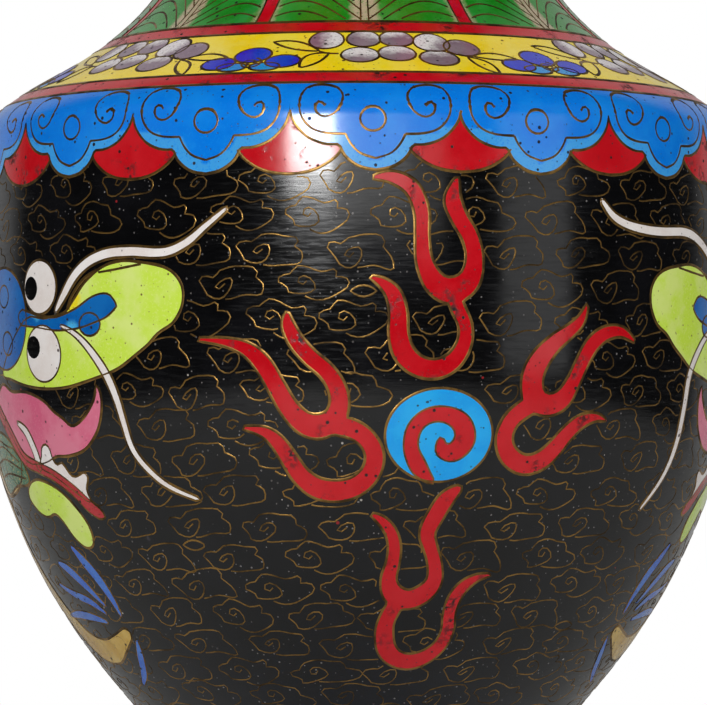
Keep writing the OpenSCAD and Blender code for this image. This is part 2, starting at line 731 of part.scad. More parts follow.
module lower_red_band() {
    color("#C01A20") shell(collar_wire_high, flower_wire_low, 0, enamel_t);
}

module flower_ground() {
    color("#F5D21E")
        difference() {
            shell(flower_wire_high, flower_top_low, 0, enamel_t);
            flower_columns(concat(mauve_petals, blue_petals));
        }
}

module mauve_flowers() { color("#8C7388") flowers(mauve_petals); }
module blue_flowers() { color("#1430C0") flowers(blue_petals); }

module upper_red_band() {
    color("#C01A20") shell(flower_top_high, leaf_wire_low, 0, enamel_t);
}

module leaf_columns() {
    for (i = [0:leaf_count - 1])
        side_column(leaf_outline(leaf_u + i * leaf_pitch), leaf_u + i * leaf_pitch);
}

module neck_ground() {
    color("#C01A20")
        difference() {
            shell(leaf_wire_high, lip_wire_low, 0, enamel_t);
            leaf_columns();
        }
}

module plantain_leaves() {
    color("#1E8230")
        intersection() {
            shell(leaf_wire_high, lip_wire_low, 0, enamel_t);
            leaf_columns();
        }
}

module lip_band() {
    color("#1A78C8") shell(lip_wire_high, wall_top_z, 0, enamel_t);
}

// ---- figures ----

pearl_blue = "#12A2EA";
flame_red = "#C8161C";

module front_pearl() { color(pearl_blue) inlay([pearl_outline], pearl_u); }
module back_pearl() { color(pearl_blue) inlay([moved(pearl_outline, half_way)], pearl_u + half_way); }
module front_flame_top() { color(flame_red) flame(flame_top, 0); }
module front_flame_left() { color(flame_red) flame(flame_left, 0); }
module front_flame_right() { color(flame_red) flame(flame_right, 0); }
module front_flame_bottom() { color(flame_red) flame(flame_bottom, 0); }
module back_flame_top() { color(flame_red) flame(flame_top, half_way); }
module back_flame_left() { color(flame_red) flame(flame_left, half_way); }
module back_flame_right() { color(flame_red) flame(flame_right, half_way); }
module back_flame_bottom() { color(flame_red) flame(flame_bottom, half_way); }

lime = "#CDE95C";
brow_blue = "#0A62B4";
eye_white = "#ECE3DC";
tongue_pink = "#D86C8A";
lip_red = "#A82228";
scale_ochre = "#C8A038";
mane_blue = "#3468C8";

module left_dragon_head() { color(lime) dragon_head(-1); }
module left_dragon_brow() { color(brow_blue) dragon_brow(-1); }
module left_dragon_whites() { color(eye_white) dragon_whites(-1); }
module left_dragon_tongue() { color(tongue_pink) dragon_tongue(-1); }
module left_dragon_lip() { color(lip_red) dragon_lip(-1); }
module left_dragon_body() { color(scale_ochre) dragon_body(-1); }
module left_dragon_legs() { color(scale_ochre) dragon_legs(-1); }
module left_dragon_mane() { color(mane_blue) dragon_mane(-1); }
module right_dragon_head() { color(lime) dragon_head(1); }
module right_dragon_brow() { color(brow_blue) dragon_brow(1); }
module right_dragon_whites() { color(eye_white) dragon_whites(1); }
module right_dragon_tongue() { color(tongue_pink) dragon_tongue(1); }
module right_dragon_lip() { color(lip_red) dragon_lip(1); }
module right_dragon_body() { color(scale_ochre) dragon_body(1); }
module right_dragon_legs() { color(scale_ochre) dragon_legs(1); }
module right_dragon_mane() { color(mane_blue) dragon_mane(1); }

copper_foot();
copper_lower_body();
copper_upper_body();
copper_neck();
bottom_plate();
foot_rim();
mouth_rim();
inner_enamel();
base_enamel();
waist_wire();
petal_lower_wire();
petal_upper_wire();
collar_wire();
flower_lower_wire();
flower_upper_wire();
leaf_wire();
lip_wire();
foot_band();
waist_band();
petal_ground();
lotus_petals();
body_ground();
blue_collar();
ruyi_lappets();
red_scallops();
lower_red_band();
flower_ground();
mauve_flowers();
blue_flowers();
upper_red_band();
neck_ground();
plantain_leaves();
lip_band();
front_pearl();
back_pearl();
front_flame_top();
front_flame_left();
front_flame_right();
front_flame_bottom();
back_flame_top();
back_flame_left();
back_flame_right();
back_flame_bottom();
left_dragon_head();
left_dragon_brow();
left_dragon_whites();
left_dragon_tongue();
left_dragon_lip();
left_dragon_body();
left_dragon_legs();
left_dragon_mane();
right_dragon_head();
right_dragon_brow();
right_dragon_whites();
right_dragon_tongue();
right_dragon_lip();
right_dragon_body();
right_dragon_legs();
right_dragon_mane();
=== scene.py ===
import logging
import math
from dataclasses import dataclass, field
from enum import Enum
from typing import Callable, Iterable, Sequence

import bpy
import numpy as np
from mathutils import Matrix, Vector
from mathutils.geometry import delaunay_2d_cdt


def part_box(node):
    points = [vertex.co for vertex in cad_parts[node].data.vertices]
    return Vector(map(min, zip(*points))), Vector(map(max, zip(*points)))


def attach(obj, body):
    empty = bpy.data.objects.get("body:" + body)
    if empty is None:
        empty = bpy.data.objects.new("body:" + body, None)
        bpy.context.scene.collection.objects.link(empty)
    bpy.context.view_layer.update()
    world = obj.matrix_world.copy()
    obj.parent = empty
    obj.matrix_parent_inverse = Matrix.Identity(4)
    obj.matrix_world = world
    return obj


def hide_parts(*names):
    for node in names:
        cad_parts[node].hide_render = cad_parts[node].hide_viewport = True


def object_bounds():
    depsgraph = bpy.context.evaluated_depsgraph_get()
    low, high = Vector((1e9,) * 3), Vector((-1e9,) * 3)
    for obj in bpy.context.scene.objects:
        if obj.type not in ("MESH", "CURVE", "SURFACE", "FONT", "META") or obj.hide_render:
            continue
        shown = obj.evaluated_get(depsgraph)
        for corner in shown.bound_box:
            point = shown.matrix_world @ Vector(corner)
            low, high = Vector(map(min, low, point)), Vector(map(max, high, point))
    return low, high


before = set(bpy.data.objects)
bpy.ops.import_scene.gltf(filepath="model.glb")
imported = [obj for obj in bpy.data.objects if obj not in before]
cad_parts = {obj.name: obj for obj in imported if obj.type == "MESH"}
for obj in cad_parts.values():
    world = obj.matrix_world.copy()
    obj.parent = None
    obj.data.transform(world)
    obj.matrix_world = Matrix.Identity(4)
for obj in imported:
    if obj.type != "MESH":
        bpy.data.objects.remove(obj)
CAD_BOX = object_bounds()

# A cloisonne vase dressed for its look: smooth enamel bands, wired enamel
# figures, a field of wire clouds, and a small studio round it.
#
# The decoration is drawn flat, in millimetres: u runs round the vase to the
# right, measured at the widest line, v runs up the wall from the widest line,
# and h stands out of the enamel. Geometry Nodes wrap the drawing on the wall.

LOG = logging.getLogger("vase")

MM = 0.001
TURN_W = 462.0
HALF_WAY = TURN_W / 2
PEARL_U = 15.0
HEAD_SUM = 27.6
LEG_SUM = 13.0

Outline = np.ndarray
Stroke = Sequence[Sequence[float]]


# ---- the wall ----


@dataclass(frozen=True)
class Knot:
    """One knot of the wall's line: height and radius in mm, and lean."""

    height: float
    radius: float
    lean: float


@dataclass(frozen=True)
class VaseSizes:
    """The sizes that the drawing shares with the CAD part, in mm."""

    foot_r: float
    waist_z: float
    belly_z: float
    belly_r: float
    wall_top: float
    waist_r: float = 33.0
    shoulder_rise: float = 26.0
    slope_rise: float = 27.0
    neck_root_r: float = 39.7
    neck_rise: float = 22.0
    neck_r: float = 32.4
    mouth_r: float = 47.5
    enamel: float = 1.1
    copper: float = 1.0
    lining: float = 0.5
    plate: float = 1.6
    wire: float = 0.8
    proud: float = 0.1
    foot_rim: float = 4.0
    petal_band: float = 18.0
    waist_band: float = 5.0
    collar_line: float = 32.3
    collar: float = 1.8
    red_band: float = 3.7
    flower_band: float = 16.4
    lip_band: float = 8.0

    @classmethod
    def from_cad(cls) -> "VaseSizes":
        """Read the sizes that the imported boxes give.

        Returns:
            The sizes, in mm.
        """
        low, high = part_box("foot_rim")
        foot_r = (high.x - low.x) / 2 / MM - cls.proud
        low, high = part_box("petal_lower_wire")
        waist_z = (high.z + low.z) / 2 / MM
        belly_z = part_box("copper_lower_body")[1].z / MM
        low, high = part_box("body_ground")
        belly_r = (high.x - low.x) / 2 / MM
        lift = cls.enamel * math.sin(math.atan(0.6))
        wall_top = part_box("lip_band")[1].z / MM - lift
        return cls(foot_r, round(waist_z, 2), belly_z, belly_r, wall_top)

    def knots(self) -> list[Knot]:
        """List the knots of the wall's outer line from the foot up.

        Returns:
            The knots.
        """
        shoulder_z = self.belly_z + self.shoulder_rise
        shoulder_r = self.belly_r - 1.0
        root_z = shoulder_z + self.slope_rise
        return [
            Knot(0, self.foot_r, 0),
            Knot(self.waist_z, self.waist_r, 0),
            Knot(self.waist_z + 32, self.waist_r + 12.8, 0.86),
            Knot(self.belly_z - 44, self.belly_r - 5.5, 0.35),
            Knot(self.belly_z, self.belly_r, 0),
            Knot(shoulder_z, shoulder_r, -0.08),
            Knot(shoulder_z + 12, shoulder_r - 0.456 * (shoulder_r - self.neck_root_r), -1.73),
            Knot(root_z, self.neck_root_r, -0.75),
            Knot(root_z + self.neck_rise, self.neck_r, 0),
            Knot(self.wall_top, self.mouth_r, 0.6),
        ]


class WallCurve:
    """The vase's outer line, with lengths measured along it."""

    def __init__(self, sizes: VaseSizes) -> None:
        """Tabulate the line.

        Args:
            sizes: The vase's sizes.
        """
        self.sizes = sizes
        self.z = np.linspace(0.0, sizes.wall_top, 1400)
        self.r = self._radii(self.z, sizes.knots())
        run = np.hypot(np.diff(self.z), np.diff(self.r))
        self.arc = np.concatenate([[0.0], np.cumsum(run)])
        self.belly_arc = float(np.interp(sizes.belly_z, self.z, self.arc))
        self.v = self.arc - self.belly_arc

    @staticmethod
    def _radii(z: np.ndarray, knots: list[Knot]) -> np.ndarray:
        """Work out the radius at each height.

        Args:
            z: Heights, mm.
            knots: The line's knots, from the foot up.

        Returns:
            The radii, mm.
        """
        radii = np.zeros_like(z)
        for a, b in zip(knots, knots[1:]):
            pick = (z >= a.height) & (z <= b.height)
            rise = b.height - a.height
            t = (z[pick] - a.height) / rise
            radii[pick] = (
                (1 + 2 * t) * (1 - t) ** 2 * a.radius
                + t * (1 - t) ** 2 * rise * a.lean
                + t * t * (3 - 2 * t) * b.radius
                + t * t * (t - 1) * rise * b.lean
            )
        return radii

    def along(self, z: float) -> float:
        """Give the drawing height v of a height."""
        return float(np.interp(z, self.z, self.v))

    def radius_at(self, v: float) -> float:
        """Give the wall's radius at a drawing height."""
        return float(np.interp(v, self.v, self.r))

    def section(self, z: float, depth: float) -> tuple[float, float]:
        """Give a point behind the wall's face, square to the wall.

        Args:
            z: Height above the floor, mm.
            depth: Depth behind the face, mm.

        Returns:
            Radius and height, mm.
        """
        step = 0.05
        radius = float(np.interp(z, self.z, self.r))
        ahead = float(np.interp(z + step, self.z, self.r))
        behind = float(np.interp(z - step, self.z, self.r))
        lean = 0.0 if z < 0.1 else (ahead - behind) / (2 * step)
        if z > self.sizes.wall_top - step:
            lean = 0.6
        n = math.hypot(1, lean)
        return radius - depth / n, z + depth * lean / n


# ---- flat drawing ----


def smooth(points: Stroke, steps: int = 5, closed: bool = False) -> np.ndarray:
    """Run a smooth curve through points.

    Args:
        points: The points, of any number of values each.
        steps: Curve points for each given point.
        closed: Whether the curve comes back to its start.

    Returns:
        The curve's points.
    """
    p = np.asarray(points, float)
    count = len(p)
    rows = []
    for i in range(count if closed else count - 1):
        a = p[(i - 1) % count] if closed else p[max(i - 1, 0)]
        b = p[i]
        c = p[(i + 1) % count]
        d = p[(i + 2) % count] if closed else p[min(i + 2, count - 1)]
        for t in np.arange(steps) / steps:
            rows.append(
                (2 * b + (c - a) * t + (2 * a - 5 * b + 4 * c - d) * t**2
                 + (3 * b - a - 3 * c + d) * t**3) / 2
            )
    if not closed:
        rows.append(p[-1])
    return np.array(rows)


def spaced(points: np.ndarray, gap: float, closed: bool) -> np.ndarray:
    """Space points evenly along a line.

    Args:
        points: The line's points, in mm.
        gap: The greatest distance between neighbours, mm.
        closed: Whether the line comes back to its start.

    Returns:
        The new points; a closed line doesn't repeat its first.
    """
    p = np.vstack([points, points[:1]]) if closed else np.asarray(points, float)
    run = np.hypot(*np.diff(p[:, :2], axis=0).T)
    arc = np.concatenate([[0.0], np.cumsum(run)])
    count = max(int(math.ceil(arc[-1] / gap)), 3)
    at = np.linspace(0.0, arc[-1], count + 1)
    out = np.column_stack([np.interp(at, arc, p[:, k]) for k in range(p.shape[1])])
    return out[:-1] if closed else out


def stroke(points: Stroke, steps: int = 6) -> Outline:
    """Outline a tapering stroke with rounded ends.

    Args:
        points: The stroke's [u, v, width] points.
        steps: Curve points for each given point.

    Returns:
        The outline.
    """
    p = smooth(points, steps)
    way = np.gradient(p[:, :2], axis=0)
    way /= np.maximum(np.hypot(way[:, 0], way[:, 1]), 1e-9)[:, None]
    side = np.column_stack([-way[:, 1], way[:, 0]]) * p[:, 2:3] / 2
    tip = p[-1:, :2] + way[-1:] * p[-1, 2] / 2
    tail = p[:1, :2] - way[:1] * p[0, 2] / 2
    return np.vstack([p[:, :2] - side, tip, (p[:, :2] + side)[::-1], tail])


def oval(u: float, v: float, half_w: float, half_h: float, count: int = 36) -> Outline:
    """Draw an oval."""
    a = np.arange(count) * 2 * math.pi / count
    return np.column_stack([u + half_w * np.cos(a), v + half_h * np.sin(a)])


def almond(start: Sequence[float], end: Sequence[float], swell: float, bend: float = 0.0) -> Outline:
    """Draw a pointed leaf between two points.

    Args:
        start: The leaf's root.
        end: The leaf's tip.
        swell: Half the leaf's width, mm.
        bend: How far its middle is pushed to the left, mm.

    Returns:
        The outline.
    """
    a, b = np.asarray(start, float), np.asarray(end, float)
    way = (b - a) / max(np.hypot(*(b - a)), 1e-9)
    side = np.array([-way[1], way[0]])
    t = np.linspace(0, 1, 13)[:, None]
    spine = a + (b - a) * t + side * bend * 4 * t * (1 - t)
    half = side * swell * np.sin(math.pi * t) ** 0.8
    return np.vstack([spine - half, (spine + half)[::-1][1:-1]])


def moved(points: Stroke, du: float, dv: float = 0.0) -> np.ndarray:
    """Move a drawing.

    Args:
        points: Points whose first two values are u and v.
        du: Distance across, mm.
        dv: Distance up, mm.

    Returns:
        The moved points.
    """
    out = np.array(points, float)
    out[:, 0] += du
    out[:, 1] += dv
    return out


def mirrored(points: Stroke, total: float) -> np.ndarray:
    """Mirror a drawing left to right.

    Args:
        points: Points whose first two values are u and v.
        total: The sum of a point's u and its mirror image's.

    Returns:
        The mirrored points.
    """
    out = np.array(points, float)
    out[:, 0] = total - out[:, 0]
    return out


def inside(points: np.ndarray, outline: Outline) -> np.ndarray:
    """Tell which points lie inside an outline.

    Args:
        points: Points of u and v.
        outline: A closed outline.

    Returns:
        One flag for each point.
    """
    x, y = points[:, 0], points[:, 1]
    flags = np.zeros(len(points), bool)
    for (ax, ay), (bx, by) in zip(outline, np.roll(outline, -1, axis=0)):
        crosses = (ay > y) != (by > y)
        with np.errstate(divide="ignore", invalid="ignore"):
            at = (bx - ax) * (y - ay) / (by - ay) + ax
        flags ^= crosses & (x < at)
    return flags


@dataclass
class Flat:
    """A drawing's mesh before it is wrapped on the wall."""

    points: np.ndarray
    faces: list[tuple[int, ...]] = field(default_factory=list)
    edges: list[tuple[int, int]] = field(default_factory=list)
    tint: np.ndarray | None = None

    @staticmethod
    def joined(parts: Sequence["Flat"]) -> "Flat":
        """Join several drawings into one.

        Args:
            parts: The drawings.

        Returns:
            One drawing that holds them all.
        """
        points, faces, edges, tints, base = [], [], [], [], 0
        for part in parts:
            points.append(part.points)
            faces += [tuple(i + base for i in f) for f in part.faces]
            edges += [(a + base, b + base) for a, b in part.edges]
            tints.append(part.tint if part.tint is not None else np.zeros(len(part.points)))
            base += len(part.points)
        return Flat(np.vstack(points), faces, edges, np.concatenate(tints))


def ring(section: Sequence[Sequence[float]], count: int) -> Flat:
    """Sweep a section right round the vase.

    Args:
        section: Closed section of [v, h], its outer side running up.
        count: Number of steps round.

    Returns:
        The drawing, closed round the vase.
    """
    s = np.asarray(section, float)
    m = len(s)
    u = np.repeat(np.arange(count) * TURN_W / count, m)
    points = np.column_stack([u, np.tile(s, (count, 1))])
    faces = []
    for i in range(count):
        a, b = i * m, (i + 1) % count * m
        for j in range(m):
            k = (j + 1) % m
            faces.append((a + j, b + j, b + k, a + k))
    return Flat(points, faces)


def band(low: float, high: float, depth: float, step: float = 0.8) -> Flat:
    """Draw a plain enamel band right round the vase.

    Args:
        low: Lower edge, v in mm.
        high: Upper edge, v in mm.
        depth: How deep the band is, mm.
        step: Distance between rings, mm.

    Returns:
        The drawing.
    """
    count = max(int(math.ceil((high - low) / step)), 2)
    face = [(v, 0.0) for v in np.linspace(low, high, count + 1)]
    back = [(v, -depth) for v in np.linspace(high, low, max(count // 3, 1) + 1)]
    return ring(face + back, 300)


def wire_ring(v: float, width: float, proud: float, depth: float) -> Flat:
    """Draw a wire with a rounded crown right round the vase.

    Args:
        v: The wire's middle, mm.
        width: Its width, mm.
        proud: How far its crown stands out, mm.
        depth: How deep it goes, mm.

    Returns:
        The drawing.
    """
    half = width / 2
    crown = [
        (v - half, -depth), (v - half, 0.0), (v - 0.8 * half, 0.6 * proud), (v - 0.4 * half, proud),
        (v + 0.4 * half, proud), (v + 0.8 * half, 0.6 * proud), (v + half, 0.0), (v + half, -depth),
    ]
    return ring(crown, 300)


Tint = Callable[[np.ndarray], np.ndarray]


def fill(
    outlines: Iterable[Outline], top: float, tint: Tint | None = None, gap: float = 0.9
) -> tuple[Flat, list[Outline]]:
    """Fill outlines with one enamel cell.

    Args:
        outlines: Closed outlines; where they overlap they become one cell.
        top: Height of the cell's face, mm.
        tint: Gives each point a share of the second colour.
        gap: Distance between the outline's points, mm.

    Returns:
        The closed cell, and the outlines of the whole.
    """
    bottom = -0.35
    rims = [spaced(np.asarray(o)[:, :2], gap, True) for o in outlines]
    everything = np.vstack(rims)
    low, high = everything.min(axis=0), everything.max(axis=0)
    grid_u, grid_v = np.meshgrid(np.arange(low[0], high[0], 1.4), np.arange(low[1], high[1], 1.2))
    lattice = np.column_stack([grid_u.ravel(), grid_v.ravel()])
    lattice[:, 0] += (np.round(lattice[:, 1] / 1.2) % 2) * 0.7
    keep = np.zeros(len(lattice), bool)
    for rim in rims:
        keep |= inside(lattice, rim)
    for chunk in np.array_split(everything, max(len(everything) // 200, 1)):
        if keep.any():
            d = np.hypot(*(lattice[:, None, :] - chunk[None, :, :]).transpose(2, 0, 1)).min(axis=1)
            keep &= d > 0.55
    seeds = [Vector(p) for p in np.vstack([everything, lattice[keep]])]
    loops, base = [], 0
    for rim in rims:
        loops.append(list(range(base, base + len(rim))))
        base += len(rim)
    verts, _, faces, *_ = delaunay_2d_cdt(seeds, [], loops, 1, 1e-5)
    flat = np.array([(p.x, p.y) for p in verts])
    tris = [tuple(f) for f in faces]
    directed = {(f[i], f[(i + 1) % len(f)]) for f in tris for i in range(len(f))}
    border = {}
    for a, b in directed:
        if (b, a) not in directed:
            border.setdefault(a, []).append(b)
    n = len(flat)
    points = np.vstack([
        np.column_stack([flat, np.full(n, top)]),
        np.column_stack([flat, np.full(n, bottom)]),
    ])
    solid = list(tris) + [tuple(i + n for i in reversed(f)) for f in tris]
    solid += [(b, a, a + n, b + n) for a, row in border.items() for b in row]
    shade = None
    if tint is not None:
        shade = np.tile(tint(flat), 2)
    rims_out = []
    while border:
        start = next(iter(border))
        walk, here = [], start
        while here in border:
            walk.append(here)
            after = border[here].pop()
            if not border[here]:
                del border[here]
            here = after
        rims_out.append(flat[walk])
    return Flat(points, solid, [], shade), rims_out


@dataclass
class Wires:
    """Lines of the drawing that become brass wire."""

    lines: list[tuple[np.ndarray, bool]] = field(default_factory=list)

    def add(self, points: np.ndarray, closed: bool, gap: float = 0.9) -> None:
        """Add one line."""
        self.lines.append((spaced(np.asarray(points, float)[:, :2], gap, closed), closed))

    def add_all(self, lines: Iterable[np.ndarray], closed: bool, gap: float = 0.9) -> None:
        """Add several lines."""
        for line in lines:
            self.add(line, closed, gap)

    def flat(self) -> Flat:
        """Turn the lines into edges.

        Returns:
            The drawing of edges.
        """
        points, edges, base = [], [], 0
        for line, closed in self.lines:
            count = len(line)
            points.append(np.column_stack([line, np.zeros(count)]))
            edges += [(base + i, base + i + 1) for i in range(count - 1)]
            if closed:
                edges.append((base + count - 1, base))
            base += count
        return Flat(np.vstack(points), [], edges)


# ---- node trees ----

# The node types that are used most, a ramp that eases in and out, and a mix of colours.
MATH = "ShaderNodeMath"
NOISE = "ShaderNodeTexNoise"
RAMP = "ShaderNodeMapRange"
MIX = "ShaderNodeMix"
SOFT = {"interpolation_type": "SMOOTHSTEP"}
COLOUR = {"data_type": "RGBA"}


class TreeBuilder:
    """Adds nodes to one tree and joins them."""

    def __init__(self, tree: bpy.types.NodeTree) -> None:
        """Take the tree to build."""
        self.tree = tree

    def add(self, kind: str, feeds: dict | Sequence = (), **settings: object) -> bpy.types.Node:
        """Add one node.

        Args:
            kind: The node's type.
            feeds: What the inputs get, by name or number, or else in the order of those in use.
            **settings: The node's own settings.

        Returns:
            The node.
        """
        node = self.tree.nodes.new(kind)
        for key, value in settings.items():
            setattr(node, key, value)
        if not isinstance(feeds, dict):
            feeds = dict(zip([i for i, socket in enumerate(node.inputs) if socket.enabled], feeds))
        for key, source in feeds.items():
            self.feed(node.inputs[key], source)
        return node

    def feed(self, socket: bpy.types.NodeSocket, source: object) -> None:
        """Give an input its value, or join it to another node.

        Args:
            socket: The input.
            source: A value, an output, or a node, which stands for its first output in use.
        """
        if isinstance(source, bpy.types.Node):
            source = next(output for output in source.outputs if output.enabled)
        if isinstance(source, bpy.types.NodeSocket):
            self.tree.links.new(source, socket)
        else:
            socket.default_value = source


def new_geometry_tree(name: str, sockets: Sequence[tuple[str, str]]) -> tuple[TreeBuilder, dict]:
    """Start a Geometry Nodes tree with named inputs and one geometry output.

    Args:
        name: The tree's name.
        sockets: Name and type of each input.

    Returns:
        The builder, and the inputs' sockets by name.
    """
    tree = bpy.data.node_groups.new(name, "GeometryNodeTree")
    for label, kind in sockets:
        tree.interface.new_socket(label, in_out="INPUT", socket_type=kind)
    tree.interface.new_socket("Geometry", in_out="OUTPUT", socket_type="NodeSocketGeometry")
    start = tree.nodes.new("NodeGroupInput")
    return TreeBuilder(tree), {label: start.outputs[label] for label, _ in sockets}


WRAP_SOCKETS = [
    ("Geometry", "NodeSocketGeometry"),
    ("Wall line", "NodeSocketObject"),
    ("Turn per mm", "NodeSocketFloat"),
    ("Line start", "NodeSocketFloat"),
]
WIRE_SOCKETS = WRAP_SOCKETS + [
    ("Wire width", "NodeSocketFloat"),
    ("Wire height", "NodeSocketFloat"),
    ("Unevenness", "NodeSocketFloat"),
    ("Seed", "NodeSocketInt"),
    ("Material", "NodeSocketMaterial"),
]
CLOUD_SOCKETS = WIRE_SOCKETS + [
    ("Cloud shapes", "NodeSocketCollection"),
    ("Figures", "NodeSocketObject"),
    ("Tilt", "NodeSocketFloat"),
]


class WallTrees:
    """The Geometry Nodes trees that lay the drawing on the wall."""

    def __init__(self) -> None:
        """Build every tree."""
        self.wrap = self._wrap_tree()
        self.sweep = self._sweep_tree()
        self.sheet = self._sheet_tree()
        self.wires = self._wires_tree()
        self.clouds = self._clouds_tree()

    @staticmethod
    def _group(build: TreeBuilder, tree: bpy.types.NodeTree, geometry: object, given: dict) -> bpy.types.Node:
        """Pass a geometry through another tree.

        Args:
            build: The tree being built.
            tree: The other tree.
            geometry: The node or output to pass through.
            given: The inputs' sockets by name.

        Returns:
            The group's node.
        """
        node = build.add("GeometryNodeGroup", node_tree=tree)
        for socket in node.inputs:
            build.feed(socket, geometry if socket.name == "Geometry" else given[socket.name])
        return node

    @staticmethod
    def _close(build: TreeBuilder, geometry: object, given: dict) -> bpy.types.NodeTree:
        """End a tree in real geometry with its material.

        Args:
            build: The tree being built.
            geometry: The node or output that gives the geometry.
            given: The inputs' sockets by name.

        Returns:
            The tree.
        """
        real = build.add("GeometryNodeRealizeInstances", {"Geometry": geometry})
        faced = build.add("GeometryNodeSetMaterial", {"Geometry": real, "Material": given["Material"]})
        build.add("NodeGroupOutput", {"Geometry": faced})
        return build.tree

    @staticmethod
    def _wrap_tree() -> bpy.types.NodeTree:
        """Bend a flat drawing round the wall's line.

        Returns:
            The tree.
        """
        build, given = new_geometry_tree("Wrap on wall", WRAP_SOCKETS)
        line = build.add("GeometryNodeObjectInfo", {"Object": given["Wall line"]}).outputs["Geometry"]
        u, v, h = build.add("ShaderNodeSeparateXYZ", [build.add("GeometryNodeInputPosition")]).outputs
        length = build.add(MATH, (v, given["Line start"]), operation="ADD")
        at = build.add("GeometryNodeSampleCurve", {"Curves": line, "Length": length}, mode="LENGTH")
        spot = build.add("ShaderNodeSeparateXYZ", [at.outputs["Position"]]).outputs
        way = build.add("ShaderNodeSeparateXYZ", [at.outputs["Tangent"]]).outputs
        radius = build.add(MATH, (h, way[2], spot[0]), operation="MULTIPLY_ADD")
        drop = build.add(MATH, (h, way[0]), operation="MULTIPLY")
        height = build.add(MATH, (spot[2], drop), operation="SUBTRACT")
        angle = build.add(MATH, (u, given["Turn per mm"]), operation="MULTIPLY")
        sine = build.add(MATH, [angle], operation="SINE")
        cosine = build.add(MATH, [angle], operation="COSINE")
        across = build.add(MATH, (radius, sine), operation="MULTIPLY")
        back = build.add(MATH, (radius, cosine), operation="MULTIPLY")
        front = build.add(MATH, (back, -1.0), operation="MULTIPLY")
        point = build.add("ShaderNodeCombineXYZ", (across, front, height))
        metres = build.add("ShaderNodeVectorMath", {0: point, "Scale": MM}, operation="SCALE")
        done = build.add("GeometryNodeSetPosition", {"Geometry": given["Geometry"], "Position": metres})
        build.add("NodeGroupOutput", {"Geometry": done})
        return build.tree

    @staticmethod
    def _sweep_tree() -> bpy.types.NodeTree:
        """Sweep a low diamond section along edges.

        Returns:
            The tree.
        """
        own = ("Geometry", "Wire width", "Wire height", "Unevenness", "Seed")
        build, given = new_geometry_tree("Sweep wire", [s for s in WIRE_SOCKETS if s[0] in own])
        curve = build.add("GeometryNodeMeshToCurve", {"Mesh": given["Geometry"]})
        level = build.add("GeometryNodeSetCurveNormal", {"Curve": curve}, mode="Z_UP")
        section = build.add(
            "GeometryNodeCurvePrimitiveCircle", {"Resolution": 4, "Radius": 0.5}, mode="RADIUS"
        )
        height = build.add(MATH, (given["Wire height"], 2.0), operation="MULTIPLY")
        size = build.add("ShaderNodeCombineXYZ", (given["Wire width"], height, 1.0))
        flat = build.add("GeometryNodeTransform", {"Geometry": section, "Scale": size})
        wobble = build.add(NOISE, {"Scale": 0.35, "Detail": 1.0, "W": given["Seed"]}, noise_dimensions="4D")
        centred = build.add(MATH, (wobble, 0.5), operation="SUBTRACT")
        swing = build.add(MATH, (given["Unevenness"], 2.0), operation="MULTIPLY")
        spread = build.add(MATH, (centred, swing, 1.0), operation="MULTIPLY_ADD")
        swept = build.add(
            "GeometryNodeCurveToMesh",
            {"Curve": level, "Profile Curve": flat, "Scale": spread, "Fill Caps": True},
        )
        even = build.add("GeometryNodeSetShadeSmooth", {"Geometry": swept})
        build.add("NodeGroupOutput", {"Geometry": even})
        return build.tree

    def _sheet_tree(self) -> bpy.types.NodeTree:
        """Lay filled cells on the wall.

        Returns:
            The tree.
        """
        sockets = WRAP_SOCKETS + [("Material", "NodeSocketMaterial")]
        build, given = new_geometry_tree("Enamel on wall", sockets)
        laid = self._group(build, self.wrap, given["Geometry"], given)
        even = build.add("GeometryNodeSetShadeSmooth", {"Geometry": laid})
        return self._close(build, even, given)

    def _wires_tree(self) -> bpy.types.NodeTree:
        """Sweep wires along edges and lay them on the wall.

        Returns:
            The tree.
        """
        build, given = new_geometry_tree("Wire on wall", WIRE_SOCKETS)
        swept = self._group(build, self.sweep, given["Geometry"], given)
        return self._close(build, self._group(build, self.wrap, swept, given), given)

    def _clouds_tree(self) -> bpy.types.NodeTree:
        """Set a cloud on every point, cut it at the figures, and make it wire.

        Returns:
            The tree.
        """
        build, given = new_geometry_tree("Cloud field", CLOUD_SOCKETS)
        seed = given["Seed"]
        shapes = build.add(
            "GeometryNodeCollectionInfo",
            {"Collection": given["Cloud shapes"], "Separate Children": True, "Reset Children": True},
        )
        # Any whole number will do: it wraps round to the number of cloud shapes.
        pick = build.add("FunctionNodeRandomValue", {4: 0, 5: 99, "Seed": seed}, data_type="INT")
        least = build.add(MATH, (given["Tilt"], -1.0), operation="MULTIPLY")
        tilt = build.add(
            "FunctionNodeRandomValue", {2: least, 3: given["Tilt"], "Seed": seed}, data_type="FLOAT"
        )
        turn = build.add("ShaderNodeCombineXYZ", {2: tilt})
        stretch = build.add(
            "GeometryNodeInputNamedAttribute", {"Name": "stretch"}, data_type="FLOAT_VECTOR"
        )
        placed = build.add(
            "GeometryNodeInstanceOnPoints",
            {
                "Points": given["Geometry"], "Instance": shapes, "Pick Instance": True,
                "Instance Index": pick, "Rotation": turn, "Scale": stretch,
            },
        )
        real = build.add("GeometryNodeRealizeInstances", {"Geometry": placed})
        figures = build.add("GeometryNodeObjectInfo", {"Object": given["Figures"]}).outputs["Geometry"]
        here = build.add("GeometryNodeInputPosition")
        above = build.add("ShaderNodeVectorMath", (here, (0.0, 0.0, 5.0)), operation="ADD")
        look = build.add(
            "GeometryNodeRaycast",
            {
                "Target Geometry": figures, "Source Position": above,
                "Ray Direction": (0.0, 0.0, -1.0), "Ray Length": 10.0,
            },
        )
        cut = build.add(
            "GeometryNodeDeleteGeometry", {"Geometry": real, "Selection": look.outputs["Is Hit"]},
            domain="POINT",
        )
        swept = self._group(build, self.sweep, cut, given)
        return self._close(build, self._group(build, self.wrap, swept, given), given)


